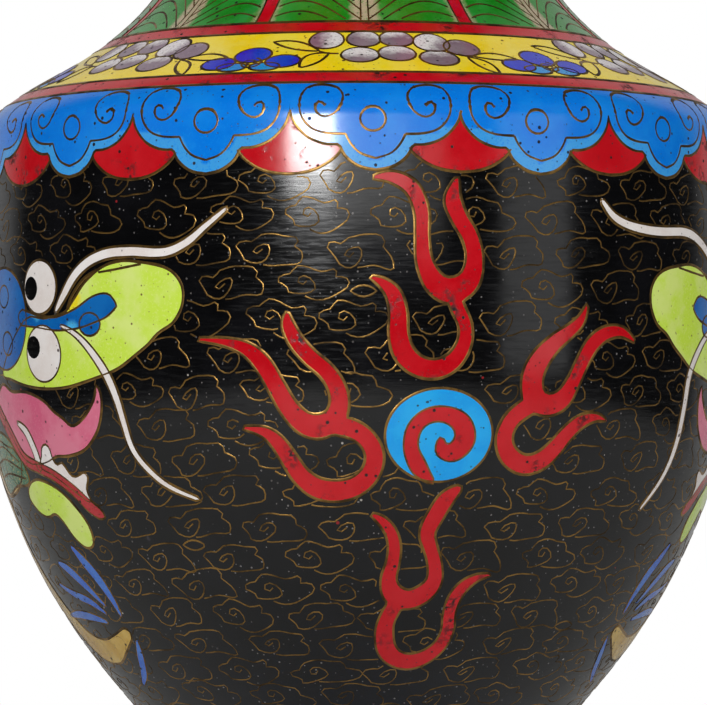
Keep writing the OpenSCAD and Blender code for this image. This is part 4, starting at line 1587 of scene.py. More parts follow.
@dataclass(frozen=True)
class ShoulderBorder:
    """The blue lappets and the red scallops between them."""

    count: int = 15
    first_u: float = 3.2
    drop: float = 8.3
    scallop: tuple = ((10.4, 0), (9.4, -5), (6.6, -7.6), (3.4, -8.9), (0, -9.3))
    outer: tuple = (
        (15.4, 1.6), (14.6, -0.6), (12.3, -3.1), (9.2, -4.4), (6.5, -4.5), (5.4, -6.6), (2.9, -8.4),
        (0, -9),
    )
    inner: tuple = (
        (12.6, 7.0), (13.4, 4.2), (13.5, 1.1), (11.4, -1.4), (8.2, -2.4), (5.3, -2.5), (4.4, -4.2),
        (2.7, -5.9), (0, -6.8),
    )
    curl: tuple = (
        (8.9, 2.6), (9.9, 3.4), (10.8, 2.6), (10.3, 1.1), (8.6, 0.6), (6.6, 1.9), (5.8, 4.6), (7.2, 6.8),
        (9.4, 7.5), (11.4, 7.3), (12.9, 6.0), (13.6, 3.6), (13.3, 0.9), (11.6, -1.3), (8.9, -2.3),
        (5.3, -2.5),
    )

    def build(self, shop: Workshop, edges: BandEdges, mask: FigureMask) -> None:
        """Make the border.

        Args:
            shop: The workshop.
            edges: The bands' edges.
            mask: The figures' mask.
        """
        pitch = TURN_W / self.count
        base = shop.sizes.collar_line - self.drop
        luck = np.random.default_rng(5)
        lappets, scallops = [], []
        lines, red_lines = Wires(), Wires()
        for i in range(self.count):
            u = self.first_u + i * pitch
            sway = luck.uniform(-0.35, 0.35, 4)
            upper, lower = smooth(self.outer[:5], 4), smooth(self.outer[4:], 4)
            half = np.vstack([upper, lower[1:]])
            rim = np.vstack([half, half[::-1][1:] * [-1, 1]])
            rim = moved(rim, u + sway[0] * 0.5, base + sway[1])
            whole = np.vstack(
                [
                    [[u + pitch / 2 + 0.1, edges.collar_low + 0.3]], rim,
                    [[u - pitch / 2 - 0.1, edges.collar_low + 0.3]],
                ],
            )
            seam = np.array(self.inner, float)
            seam = moved(np.vstack([seam, seam[::-1][1:] * [-1, 1]]), u, base)
            cell, outlines = fill(
                [whole], Layer.BROW.value,
                lambda p, s=seam, b=base: np.where(inside(p, s) | (p[:, 1] > b - 1.0), 0.0, 0.85),
            )
            lappets.append(cell)
            mask.add(cell, outlines)
            lines.add(rim, False)
            for flip in (1, -1):
                curl = smooth([(x * flip, y) for x, y in self.curl], 4)
                low = smooth([(x * flip, y) for x, y in self.inner[5:]], 4)
                wave = 1 + sway[2] * 0.12
                lines.add(moved(curl * [1, wave], u, base), False, 0.8)
                lines.add(moved(low, u, base), False, 0.8)
            lines.add(oval(u - 0.3 + sway[3], base + 0.2, 2.3, 2.2, 16), True, 0.8)
            red = smooth(self.scallop, 4)
            red = np.vstack([red, red[::-1][1:] * [-1, 1]]) * [1, 1 + sway[3] * 0.18]
            middle = u + pitch / 2
            shape = np.vstack(
                [[[middle + 0.6, base + 1.5]], moved(red, middle, base), [[middle - 0.6, base + 1.5]]],
            )
            cell, outlines = fill([shape], Layer.BODY.value)
            scallops.append(cell)
            mask.add(cell, outlines)
            red_lines.add(self._free(moved(red, middle, base), base), False)
        shop.lay("ruyi_lappets_face", Flat.joined(lappets), ["ruyi_lappets"], Finish.BLUE)
        shop.lay("red_scallops_face", Flat.joined(scallops), ["red_scallops"], Finish.RED)
        shop.wire("lappet_wires", lines, ["ruyi_lappets"], 0.74)
        shop.wire("scallop_wires", red_lines, ["red_scallops"], 0.62)

    @staticmethod
    def _free(line: np.ndarray, base: float) -> np.ndarray:
        """Keep the part of a scallop's edge that the lappets leave bare."""
        return line[line[:, 1] < base - 4.2]


# ---- flowers ----


@dataclass(frozen=True)
class FlowerBand:
    """Sprays of mauve and blue flowers on the yellow band."""

    count: int = 7
    first_u: float = 9.0
    # u, v, half width, half height, way of the white (degrees), its share
    mauve: tuple = (
        (-16.5, 49.1, 4.2, 3.5, 0, 0.55), (-7.5, 49.5, 4.1, 3.1, 60, 0.35),
        (0.5, 49.6, 4.2, 3.0, 100, 0.35), (8.9, 48.2, 4.4, 3.6, 150, 0.65),
        (15.7, 46.4, 4.3, 3.3, 90, 0.05), (-8.4, 42.9, 4.2, 3.1, 90, 0.6), (-0.2, 43.6, 4.2, 3.2, 90, 0.45),
        (8.9, 41.8, 4.3, 3.1, 100, 0.3),
    )
    blue: tuple = (
        (-32.5, 43.3, 4.2, 3.1, 0.0), (-39.3, 40.0, 3.8, 2.5, 0.1), (-25.0, 40.5, 3.8, 2.6, 0.0),
        (-35.6, 38.4, 3.3, 1.6, 1.0), (-28.4, 38.4, 3.3, 1.6, 1.0),
    )
    leaves: tuple = (
        ((-29.5, 48.8), (-17.6, 44.6), 1.5, 0.4), ((-15.4, 43.7), (-20.8, 37.6), 2.0, -0.8),
        ((17.0, 43.2), (28.0, 42.3), 1.4, 0.5), ((15.7, 42.6), (20.3, 36.1), 1.6, 0.4),
    )
    stems: tuple = (
        ((-17.6, 44.4), (-15.8, 43.6), (-13.2, 43.4)), ((13.8, 43.8), (15.8, 42.9), (17.6, 43.4)),
    )

    def build(self, shop: Workshop) -> None:
        """Make every spray.

        Args:
            shop: The workshop.
        """
        pitch = TURN_W / self.count
        mauve, blue = [], []
        lines = Wires()
        for i in range(self.count):
            u0 = self.first_u + i * pitch
            for u, v, w, h, way, share in self.mauve:
                outline = oval(u0 + u, v, w, h)
                cell, _ = fill([outline], Layer.HEAD.value, self._fade(u0 + u, v, w, h, way, share))
                mauve.append(cell)
                lines.add(outline, True)
            for u, v, w, h, shade in self.blue:
                top = Layer.BODY.value if shade > 0.5 else Layer.HEAD.value
                outline = oval(u0 + u, v, w, h)
                cell, _ = fill([outline], top, lambda p, s=shade: np.full(len(p), s))
                blue.append(cell)
                lines.add(outline, True)
            turns = np.linspace(0.4, 4.4 * math.pi, 44)
            curl = np.column_stack(
                [u0 - 32.0 + 0.19 * turns * np.cos(turns), 39.9 + 0.16 * turns * np.sin(turns)],
            )
            lines.add(curl, False, 0.6)
            for start, end, swell, bend in self.leaves:
                lines.add(moved(almond(start, end, swell, bend), u0), True)
            for stem in self.stems:
                lines.add(moved(smooth(stem, 6), u0), False)
        shop.lay("mauve_flowers_face", Flat.joined(mauve), ["mauve_flowers"], Finish.MAUVE)
        shop.lay("blue_flowers_face", Flat.joined(blue), ["blue_flowers"], Finish.DEEP_BLUE)
        shop.wire("flower_wires", lines, ["mauve_flowers", "blue_flowers"], 0.7)

    @staticmethod
    def _fade(u: float, v: float, w: float, h: float, way: float, share: float) -> Tint:
        """Fade a petal to white towards one side.

        Args:
            u: The petal's middle across, mm.
            v: Its middle up, mm.
            w: Its half width, mm.
            h: Its half height, mm.
            way: Direction of the white, degrees.
            share: Share of white in the middle.

        Returns:
            The tint.
        """
        a = math.radians(way)

        def tint(p: np.ndarray) -> np.ndarray:
            """Tint each point by how far it lies that way."""
            along = (p[:, 0] - u) / w * math.cos(a) + (p[:, 1] - v) / h * math.sin(a)
            return np.clip(share + 0.45 * along, 0.0, 1.0)

        return tint


# ---- leaves of the neck and petals of the foot ----


@dataclass(frozen=True)
class LeafRing:
    """Tall leaves round the neck."""

    count: int = 8
    first_u: float = 2.0
    wedge: float = 4.0

    def build(self, shop: Workshop, edges: BandEdges) -> None:
        """Make the leaves and their veins.

        Args:
            shop: The workshop.
            edges: The bands' edges.
        """
        pitch = TURN_W / self.count
        half = (pitch - self.wedge) / 2
        low, high = edges.leaf_wire + edges.half, edges.lip_wire - 6
        t = np.linspace(0, 1, 22)
        side = np.column_stack([half * np.cos(t * math.pi / 2) ** 0.6, low + t * (high - low)])
        shape = np.vstack([side, side[::-1][1:] * [-1, 1]])
        cells, lines = [], Wires()
        for i in range(self.count):
            u = self.first_u + i * pitch
            cell, _ = fill([moved(shape, u)], Layer.BODY.value, self._tint(u, half))
            cells.append(cell)
            lines.add(moved(side, u), False)
            lines.add(moved(side * [-1, 1], u), False)
            for flip in (1, -1):
                rib = [
                    (u + flip * 1.1, low), (u + flip * 0.9, (low + high) / 2), (u + flip * 0.1, high - 2),
                ]
                lines.add(smooth(rib, 8), False)
                for v in np.arange(low - 9.0, high - 8.0, 3.1):
                    lines.add_all(self._vein(u, flip, v, half, low, high), False, 0.9)
        shop.lay("plantain_leaves_face", Flat.joined(cells), ["plantain_leaves"], Finish.GREEN)
        shop.wire("leaf_wires", lines, ["plantain_leaves"], 0.62)

    @staticmethod
    def _vein(u: float, flip: int, v: float, half: float, low: float, high: float) -> list[np.ndarray]:
        """Draw one vein from the rib to the leaf's edge.

        Args:
            u: The leaf's middle, mm.
            flip: 1 to the right, -1 to the left.
            v: Where it leaves the rib, mm.
            half: Half the leaf's width, mm.
            low: The leaf's foot, mm.
            high: The leaf's tip, mm.

        Returns:
            The vein, or nothing where it would be a stub.
        """
        t = np.linspace(0, 1, 26)
        x = 1.1 + (half - 1.1) * t
        y = v + 10.5 * np.sin(t * 2.1) - 2.0 * t
        room = half * np.cos(np.clip((y - low) / (high - low), 0, 1) * math.pi / 2) ** 0.6
        keep = (y > low) & (x < room) & (y < high)
        line = np.column_stack([u + flip * x, y])[keep]
        return [line] if len(line) > 4 else []

    @staticmethod
    def _tint(u: float, half: float) -> Tint:
        """Lighten a leaf along its rib and its edges.

        Args:
            u: The leaf's middle, mm.
            half: Half the leaf's width, mm.

        Returns:
            The tint.
        """
        def tint(p: np.ndarray) -> np.ndarray:
            """Tint each point by its distance from the rib."""
            x = np.abs(p[:, 0] - u) / half
            return np.clip(1.25 - 5.0 * x, 0, 1) + np.clip(4.0 * x - 3.35, 0, 0.6)

        return tint


@dataclass(frozen=True)
class PetalRing:
    """Lotus petals round the lower body."""

    count: int = 18

    def build(self, shop: Workshop, edges: BandEdges) -> None:
        """Make the petals and their inner lines.

        Args:
            shop: The workshop.
            edges: The bands' edges.
        """
        pitch = TURN_W / self.count
        base, tip = edges.petal_wire - edges.half, edges.petal_low + 1.4
        t = np.linspace(0, 1, 14)
        side = np.column_stack(
            [(pitch / 2 - 0.6) * np.cos(t * math.pi / 2) ** 0.5, base + t * (tip - base)],
        )
        shape = np.vstack([side, side[::-1][1:] * [-1, 1]])
        cells, lines = [], Wires()
        for i in range(self.count):
            u = i * pitch
            cell, _ = fill(
                [moved(shape, u)], Layer.BODY.value,
                lambda p, c=u: np.where(np.abs(p[:, 0] - c) < pitch * 0.27, 0.8, 0.0),
            )
            cells.append(cell)
            lines.add(moved(shape, u), False)
            inner = np.column_stack([side[:, 0] * 0.6, base + (side[:, 1] - base) * 0.7])
            lines.add(moved(np.vstack([inner, inner[::-1][1:] * [-1, 1]]), u), False)
        shop.lay("lotus_petals_face", Flat.joined(cells), ["lotus_petals"], Finish.BLUE)
        shop.wire("petal_wires", lines, ["lotus_petals"], 0.6)


# ---- the pearl and its flames ----

FLAMES: dict[str, tuple] = {
    "top": (
        ((2.8, 13.9, 0.8), (6.2, 13.9, 2.2), (9.6, 12, 2.8), (11.3, 8, 2.7), (11.4, 3.5, 2.5),
         (11.8, -1, 3), (13.8, -4.8, 4), (16.8, -6, 4.6), (19.9, -4.2, 4), (20.9, -0.3, 3.2),
         (20, 3.6, 3.1), (18, 7, 3.1), (16.9, 10.2, 3.1), (17.8, 13.9, 0.8)),
        ((2.3, -3.6, 0.6), (4.3, -4.6, 1.8), (6.3, -6.6, 2.8), (7.2, -10, 3.2), (7.2, -13.5, 3.5),
         (8.2, -17, 3.8), (10.8, -19.3, 3.6), (14.2, -19.8, 3.4), (17.2, -18.3, 3.1),
         (19.1, -15.2, 2.7), (19.2, -12, 2.5), (18, -9.4, 2.6), (17, -7, 2.6)),
    ),
    "left": (
        ((-29, -14.5, 0.6), (-24, -15, 1.5), (-20, -16.2, 2.5), (-17, -18.8, 3.2),
         (-14.6, -22.8, 3.3), (-12.4, -26.6, 3.5), (-9.8, -29.3, 4), (-7, -30, 4.4),
         (-4.4, -28.8, 3.9), (-3.2, -26, 3.5), (-3.7, -23, 3.2), (-5.5, -20.2, 3),
         (-8.3, -17.8, 2.9), (-10.8, -15, 2.8), (-12.3, -12, 2.3), (-12.4, -9.8, 0.8)),
        ((-21, -30.2, 0.6), (-17, -31, 2), (-14.5, -33, 2.8), (-12.5, -36, 3.2), (-10.5, -39, 3.5),
         (-7.5, -41.2, 3.9), (-3.5, -41.7, 3.9), (0.2, -40.6, 3.6), (2.6, -38, 3.5),
         (3.1, -34.8, 3.4), (1.5, -32, 3.3), (-1, -30.4, 3.4), (-4, -29.8, 3.4)),
    ),
    "right": (
        ((43.6, -8.2, 0.6), (42.2, -11, 1.9), (39.8, -13, 2.5), (36.8, -15, 3.1),
         (34, -17.8, 3.9), (32.4, -21, 4.3), (32.8, -24.6, 4.4), (35.5, -26.2, 4),
         (38.8, -25.2, 3.7), (41, -22, 3), (42.8, -18.5, 2.9), (45, -15.2, 3),
         (48, -13.3, 2.6), (51.5, -12.9, 2), (54, -13.9, 1.2), (55.4, -14.8, 0.5)),
        ((32.5, -26, 3.4), (28.8, -28.6, 3.2), (27.4, -32, 3.3), (28.6, -35.2, 3.6),
         (31.8, -37, 3.6), (35.2, -36.4, 3.6), (38, -34.2, 3.4), (40.4, -31.5, 3),
         (43.2, -29.3, 2.6), (46.6, -28.4, 1.6), (49.4, -29, 0.5)),
    ),
    "bottom": (
        ((2.8, -46.1, 0.8), (4.7, -47.3, 1.8), (6.5, -49.4, 2.3), (7.4, -52.3, 2.6),
         (7.2, -55.7, 2.8), (6.5, -59, 3.3), (7.6, -61.9, 4.2), (10.9, -63.2, 4),
         (14.3, -61.9, 4), (16.3, -59.4, 3.4), (15.9, -55.7, 2.9), (14.8, -52.8, 2.8),
         (13.8, -49.8, 3.2), (15.1, -46.5, 3.4), (17, -43.3, 3.2), (19.3, -41.2, 1.6)),
        ((8.6, -63.6, 3.4), (6.7, -67.3, 3.6), (6.2, -70.3, 4.2), (7, -74, 4.4),
         (9.7, -76.3, 3.8), (13.4, -76.9, 3.6), (17.2, -75.7, 3.4), (20.1, -73.2, 3.2),
         (21.2, -69.8, 3.1), (20.8, -66.5, 2.9), (21.3, -63.2, 3), (23, -60.5, 2.6),
         (25.7, -58.8, 1.6), (28.7, -58.2, 0.5)),
    ),
}


@dataclass(frozen=True)
class PearlAndFlames:
    """One pearl with a red comma, and the four forked flames round it."""

    side: str
    shift: float
    v: float = -31.6
    half_w: float = 10.0
    half_h: float = 8.4
    comma: tuple = (
        (14, -40, 1.0), (11.5, -37.5, 3.0), (9.8, -34, 2.7), (10.2, -30.5, 2.6), (12.5, -28.2, 2.6),
        (15.8, -27.8, 2.8), (18.9, -29.3, 3.5), (19.8, -32.3, 3.8), (17.8, -34.6, 3.4),
        (15.6, -34.2, 2.6), (15.3, -32.4, 1.4),
    )

    def build(self, shop: Workshop, mask: FigureMask) -> None:
        """Make the pearl and the flames.

        Args:
            shop: The workshop.
            mask: The figures' mask.
        """
        node = f"{self.side}_pearl"
        disc = oval(PEARL_U + self.shift, self.v, self.half_w, self.half_h, 48)
        cell, outlines = fill([disc], Layer.HEAD.value)
        mask.add(cell, outlines)
        shop.lay(f"{node}_face", cell, [node], Finish.PEARL)
        comma = moved(stroke(self.comma), self.shift)
        red, edge = fill([comma], Layer.BROW.value)
        shop.lay(f"{node}_comma", red, [node], Finish.RED)
        lines = Wires()
        lines.add(disc, True)
        lines.add_all(edge, True)
        shop.wire(f"{node}_wires", lines, [node], 0.56)
        for name, strokes in FLAMES.items():
            flame = f"{self.side}_flame_{name}"
            cell, outlines = fill([moved(stroke(s), self.shift) for s in strokes], Layer.BODY.value)
            mask.add(cell, outlines)
            shop.lay(f"{flame}_face", cell, [flame], Finish.RED)
            lines = Wires()
            lines.add_all(outlines, True)
            shop.wire(f"{flame}_wires", lines, [flame], 0.6)


# ---- the dragons ----

EYES = ((-67.2, -4.6, 5.3, 4.9), (-66.6, -16.8, 5.6, 5.2))
PUPILS = ((-70.1, -4.8, 2.2, 2.2), (-69.7, -15.6, 2.3, 2.1))
FOREHEAD = (-82.0, -10.2, 9.9, 9.5)
CURLS = ((-81.8, -6.0, 2.3, 2.1), (-80.5, -14.8, 2.4, 2.2))
BEAK = ((-74, -10, 3), (-68, -10.9, 2.2), (-62, -11.4, 2.4), (-56, -10.5, 3.6),
        (-51.5, -8.9, 4.6), (-48.8, -8.2, 4.3), (-47.6, -8.2, 3.4))
NOSE = (-52.8, -11.6, 2.7, 2.1)
SKULL = ((-84, -20), (-80, -21.4), (-73, -22.7), (-66, -23.2), (-59, -22.8), (-52, -21.3),
         (-46.5, -19.7), (-42.5, -17.4), (-39.3, -15.3), (-37, -13.2), (-34, -11.5),
         (-32.2, -8.6), (-32, -5.4), (-33.5, -3), (-36, -1.6), (-39.5, -0.9), (-44.8, -0.4),
         (-49.5, -1.4), (-54, -4.2), (-57.5, -7.8), (-60, -9.6), (-66, -10.4), (-73, -10.6))
BEARD = ((-82.2, -44.2), (-80.4, -41.8), (-75.8, -40.5), (-70.4, -41.4), (-65.8, -43.7),
         (-62.6, -46.9), (-61.1, -49.8), (-61.7, -52.8), (-64.5, -53.7), (-67.6, -51.9),
         (-69.9, -48.7), (-72.2, -47.1), (-75.8, -47.8), (-79.5, -46.9))
TONGUE = ((-85, -22.4), (-80.4, -23.8), (-74, -23.9), (-68, -25.4), (-64.9, -27.4), (-62.2, -28.7),
          (-59.9, -30.1), (-57.6, -29.6), (-54.9, -27.8), (-52.6, -25.1), (-51.7, -22.6),
          (-50.8, -25.1), (-51.5, -28.7), (-53.5, -31.9), (-57.2, -34.6), (-62.2, -35.7),
          (-66, -35.8), (-71, -37.2), (-78.5, -36.9), (-84, -31.5), (-89, -26.4))
LIP = ((-90, -26.5, 2.5), (-84.5, -31.5, 2.6), (-79.5, -36.4, 2.4), (-74, -38, 2.2),
       (-68.5, -39.5, 2.2), (-63, -42.2, 2.3), (-59, -45.3, 2.6), (-56.2, -46.9, 2))
FANG = ((-79.5, -29.6, 0.8), (-76, -31.4, 1.8), (-73.8, -35, 2), (-73.2, -38, 2.2))
TEETH = ((-73, -38), (-71.5, -36), (-70.9, -34.4), (-69.4, -33.6), (-68.0, -34.4), (-67.6, -36.6),
         (-66.2, -37.6), (-64.8, -36.9), (-63.6, -38.2), (-62.4, -39.6), (-60.4, -39.6), (-58.2, -38.7),
         (-57.5, -39.9), (-58.8, -42), (-58.4, -44.6), (-63, -42.2), (-68.5, -39.5))
LEFT_WHISKERS = (
    ((-62.2, -9.2, 0.8), (-59.9, -6.5, 1.6), (-56.7, -2.8, 1.8), (-53.1, -0.4, 1.8),
     (-48.5, 1, 1.8), (-43.1, 1.3, 1.8), (-35.8, 1, 1.7), (-31.3, 2.6, 1.5),
     (-27.6, 5.4, 1.2), (-23.5, 8.6, 0.8)),
    ((-60.8, -11.7, 0.6), (-56.7, -13.3, 1), (-53.1, -16, 1.4), (-49.5, -20.1, 1.7),
     (-47.2, -24.6, 1.6), (-45.8, -29.6, 1.4), (-44.5, -34.2, 1.3),
     (-41.7, -37.8, 1.2), (-37.6, -41, 1.1), (-31.3, -43.5, 0.7)),
)
RIGHT_WHISKERS = (
    ((47, 10.6, 0.9), (50, 7.6, 1.5), (55, 6, 1.7), (62, 5.4, 1.8), (70, 5.6, 1.8),
     (75, 4.6, 1.8), (80, 2, 1.8), (84.4, -2.2, 1.8), (88.5, -7.2, 0.8)),
    ((88.4, -11.7, 0.6), (80.8, -13, 1.2), (76.2, -16.5, 1.6), (73.3, -21, 1.7),
     (72.5, -27, 1.7), (71.5, -34, 1.6), (69, -40, 1.3), (64, -46, 0.8)),
)
BODY = ((-84, -37.5, 6), (-91, -38.5, 10), (-101, -37, 13), (-109, -26, 14.5),
        (-115, -10, 15), (-125, 1, 14), (-136, -2, 13), (-142, -16, 12),
        (-145, -34, 11), (-153, -49, 9.5), (-163, -53, 7.5), (-170, -46, 5), (-172, -36, 2.5))
LEGS = (
    ((-106, -46, 9), (-104, -58, 9), (-97, -68, 8), (-88, -75.5, 7), (-78, -77, 5.6),
     (-70, -74.8, 4), (-63.5, -72, 2.6)),
    ((-142, -38, 8), (-134, -50, 8), (-131, -62, 7), (-123, -70, 6), (-113, -72, 3.5)),
)
MANE = (
    ((-70.5, -53.6, 0.9), (-68, -56.4, 2.4), (-65, -60, 2.9), (-63, -64.5, 2), (-62.6, -68, 0.8)),
    ((-80, -57.4, 1), (-76, -58.8, 2.4), (-71.4, -62, 2.2), (-67, -66, 0.8)),
    ((-86.5, -62.2, 0.8), (-80, -64, 1.7), (-73, -65.4, 1.9), (-68.4, -67.7, 0.8)),
    ((-92, -69.4, 0.8), (-84, -68.8, 1.8), (-76, -69, 1.8), (-70, -69.8, 0.8)),
    ((-61.4, -73.6, 0.8), (-63.4, -77, 2), (-67, -81.4, 2), (-71.6, -84.6, 0.8)),
    ((-173.5, -38, 3), (-176, -33, 3.6), (-175, -28, 2.4), (-172, -24, 0.8)),
)
CHEEK_LINES = (
    ((-50.4, -2.3), (-46, -1.8), (-40.6, -1.0)),
    ((-58.6, -8.6), (-57.4, -6.4), (-54.2, -3.4), (-50.8, -1.9)),
)
THROAT = ((-100, -33), (-93, -31.6), (-87, -32.6), (-81, -36.8), (-80, -41.2), (-88, -42), (-98, -43.4))
RIBS = (
    ((-99, -35.4), (-91, -34.4), (-82.6, -37.2)), ((-99, -37.8), (-91, -36.8), (-81.6, -38.8)),
    ((-99, -40.6), (-91, -39.6), (-81, -40.4)),
)


class Side(Enum):
    """Which dragon."""

    LEFT = "left"
    RIGHT = "right"


@dataclass(frozen=True)
class Dragon:
    """One dragon; the right one is the left one's mirror image."""

    side: Side

    def _place(self, points: Stroke, total: float = HEAD_SUM) -> np.ndarray:
        """Put points on this dragon's side."""
        return np.array(points, float) if self.side is Side.LEFT else mirrored(points, total)

    def _cell(
        self, shop: Workshop, mask: FigureMask, part: str, outlines: Sequence[Outline], layer: Layer,
        finish: Finish, tint: Tint | None = None, label: str = "face", wired: bool = True,
        width: float = 0.68,
    ) -> None:
        """Fill outlines with one enamel and edge them with wire.

        Args:
            shop: The workshop.
            mask: The figures' mask.
            part: The CAD node's last word.
            outlines: The outlines.
            layer: Height of the cells.
            finish: Their finish.
            tint: Gives each point a share of the second colour.
            label: The piece's last word.
            wired: Whether the cells get wires.
            width: The wire's width, mm.
        """
        node = f"{self.side.value}_dragon_{part}"
        cells, lines = [], Wires()
        for outline in outlines:
            cell, edge = fill([outline], layer.value, tint)
            cells.append(cell)
            mask.add(cell, edge)
            lines.add_all(edge, True)
        shop.lay(f"{node}_{label}", Flat.joined(cells), [node], finish)
        if wired:
            shop.wire(f"{node}_{label}_wires", lines, [node], width)

    def build(self, shop: Workshop, mask: FigureMask) -> None:
        """Make the dragon's cells and wires.

        Args:
            shop: The workshop.
            mask: The figures' mask.
        """
        place = self._place
        whiskers = LEFT_WHISKERS if self.side is Side.LEFT else RIGHT_WHISKERS
        whisker_cells = [stroke(w) for w in whiskers]
        self._cell(shop, mask, "body", [stroke(place(BODY))], Layer.BODY, Finish.OCHRE)
        self._scales(shop)
        self._cell(shop, mask, "legs", [stroke(place(s, LEG_SUM)) for s in LEGS], Layer.BROW, Finish.OCHRE)
        self._cell(
            shop, mask, "mane", [stroke(place(s, LEG_SUM)) for s in MANE], Layer.WHITE, Finish.STRAND,
            width=0.42,
        )
        self._cell(
            shop, mask, "body", [smooth(place(THROAT), 4, True)], Layer.HEAD, Finish.OCHRE,
            lambda p: np.ones(len(p)), "throat",
        )
        glow = place([(-57.6, -7.4)])[0]
        self._cell(
            shop, mask, "head", [smooth(place(SKULL), 3, True), smooth(place(BEARD), 4, True)], Layer.HEAD,
            Finish.LIME, lambda p: np.clip(
                1.25 - np.hypot(p[:, 0] - glow[0], p[:, 1] - glow[1]) / 3.6, 0, 1,
            ),
        )
        self._cell(shop, mask, "tongue", [smooth(place(TONGUE), 3, True)], Layer.BODY, Finish.PINK)
        self._cell(shop, mask, "lip", [stroke(place(LIP))], Layer.TOP, Finish.LIP)
        pale = place([(-57.5, -12.6), (-68.4, -8.9)])
        self._cell(
            shop, mask, "brow",
            [stroke(place(BEAK)), place(oval(*NOSE)), place(oval(*FOREHEAD, 60))],
            Layer.BROW, Finish.BROW,
            lambda p: np.clip(1.1 - np.minimum(
                np.hypot(p[:, 0] - pale[0][0], p[:, 1] - pale[0][1]),
                np.hypot(p[:, 0] - pale[1][0], p[:, 1] - pale[1][1]),
            ) / 3.0, 0, 1),
        )
        whites = [place(oval(*e)) for e in EYES] + [stroke(place(FANG)), smooth(place(TEETH), 3, True)]
        self._cell(shop, mask, "whites", whites + whisker_cells, Layer.WHITE, Finish.WHITE)
        pupils = [place(oval(*p)) for p in PUPILS]
        self._cell(shop, mask, "whites", pupils, Layer.TOP, Finish.PUPIL, None, "pupils", False)
        lines = Wires()
        for shape in CURLS:
            lines.add(place(oval(*shape, 24)), True, 0.7)
        for line in CHEEK_LINES + RIBS:
            lines.add(smooth(place(line), 6), False)
        node = f"{self.side.value}_dragon_head"
        shop.wire(f"{node}_lines", lines, [node], 0.66)

    def _scales(self, shop: Workshop) -> None:
        """Draw rows of small scale arcs down the body and the legs.

        Args:
            shop: The workshop.
        """
        lines = Wires()
        for strokes, total in (((BODY,), HEAD_SUM), (LEGS, LEG_SUM)):
            for points in strokes:
                spine = spaced(smooth(self._place(points, total), 6), 3.3, False)
                way = np.gradient(spine[:, :2], axis=0)
                way /= np.hypot(way[:, 0], way[:, 1])[:, None]
                for k, (spot, ahead) in enumerate(zip(spine[1:-1], way[1:-1])):
                    side = np.array([-ahead[1], ahead[0]])
                    count = max(int(spot[2] / 3.4), 1)
                    step = (spot[2] - 0.8) / count
                    for j in range(count - k % 2):
                        off = (j + 0.5 + 0.5 * (k % 2)) * step - (spot[2] - 0.8) / 2
                        a = np.linspace(0, math.pi, 7)
                        arc = (
                            spot[:2] + side * off
                            + np.outer(np.cos(a) * step / 2, side) + np.outer(np.sin(a) * 2.4, ahead)
                        )
                        lines.add(arc, False, 0.9)
        node = f"{self.side.value}_dragon"
        shop.wire(f"{node}_scales", lines, [f"{node}_body", f"{node}_legs"], 0.34, 0.07)


# ---- the clouds ----


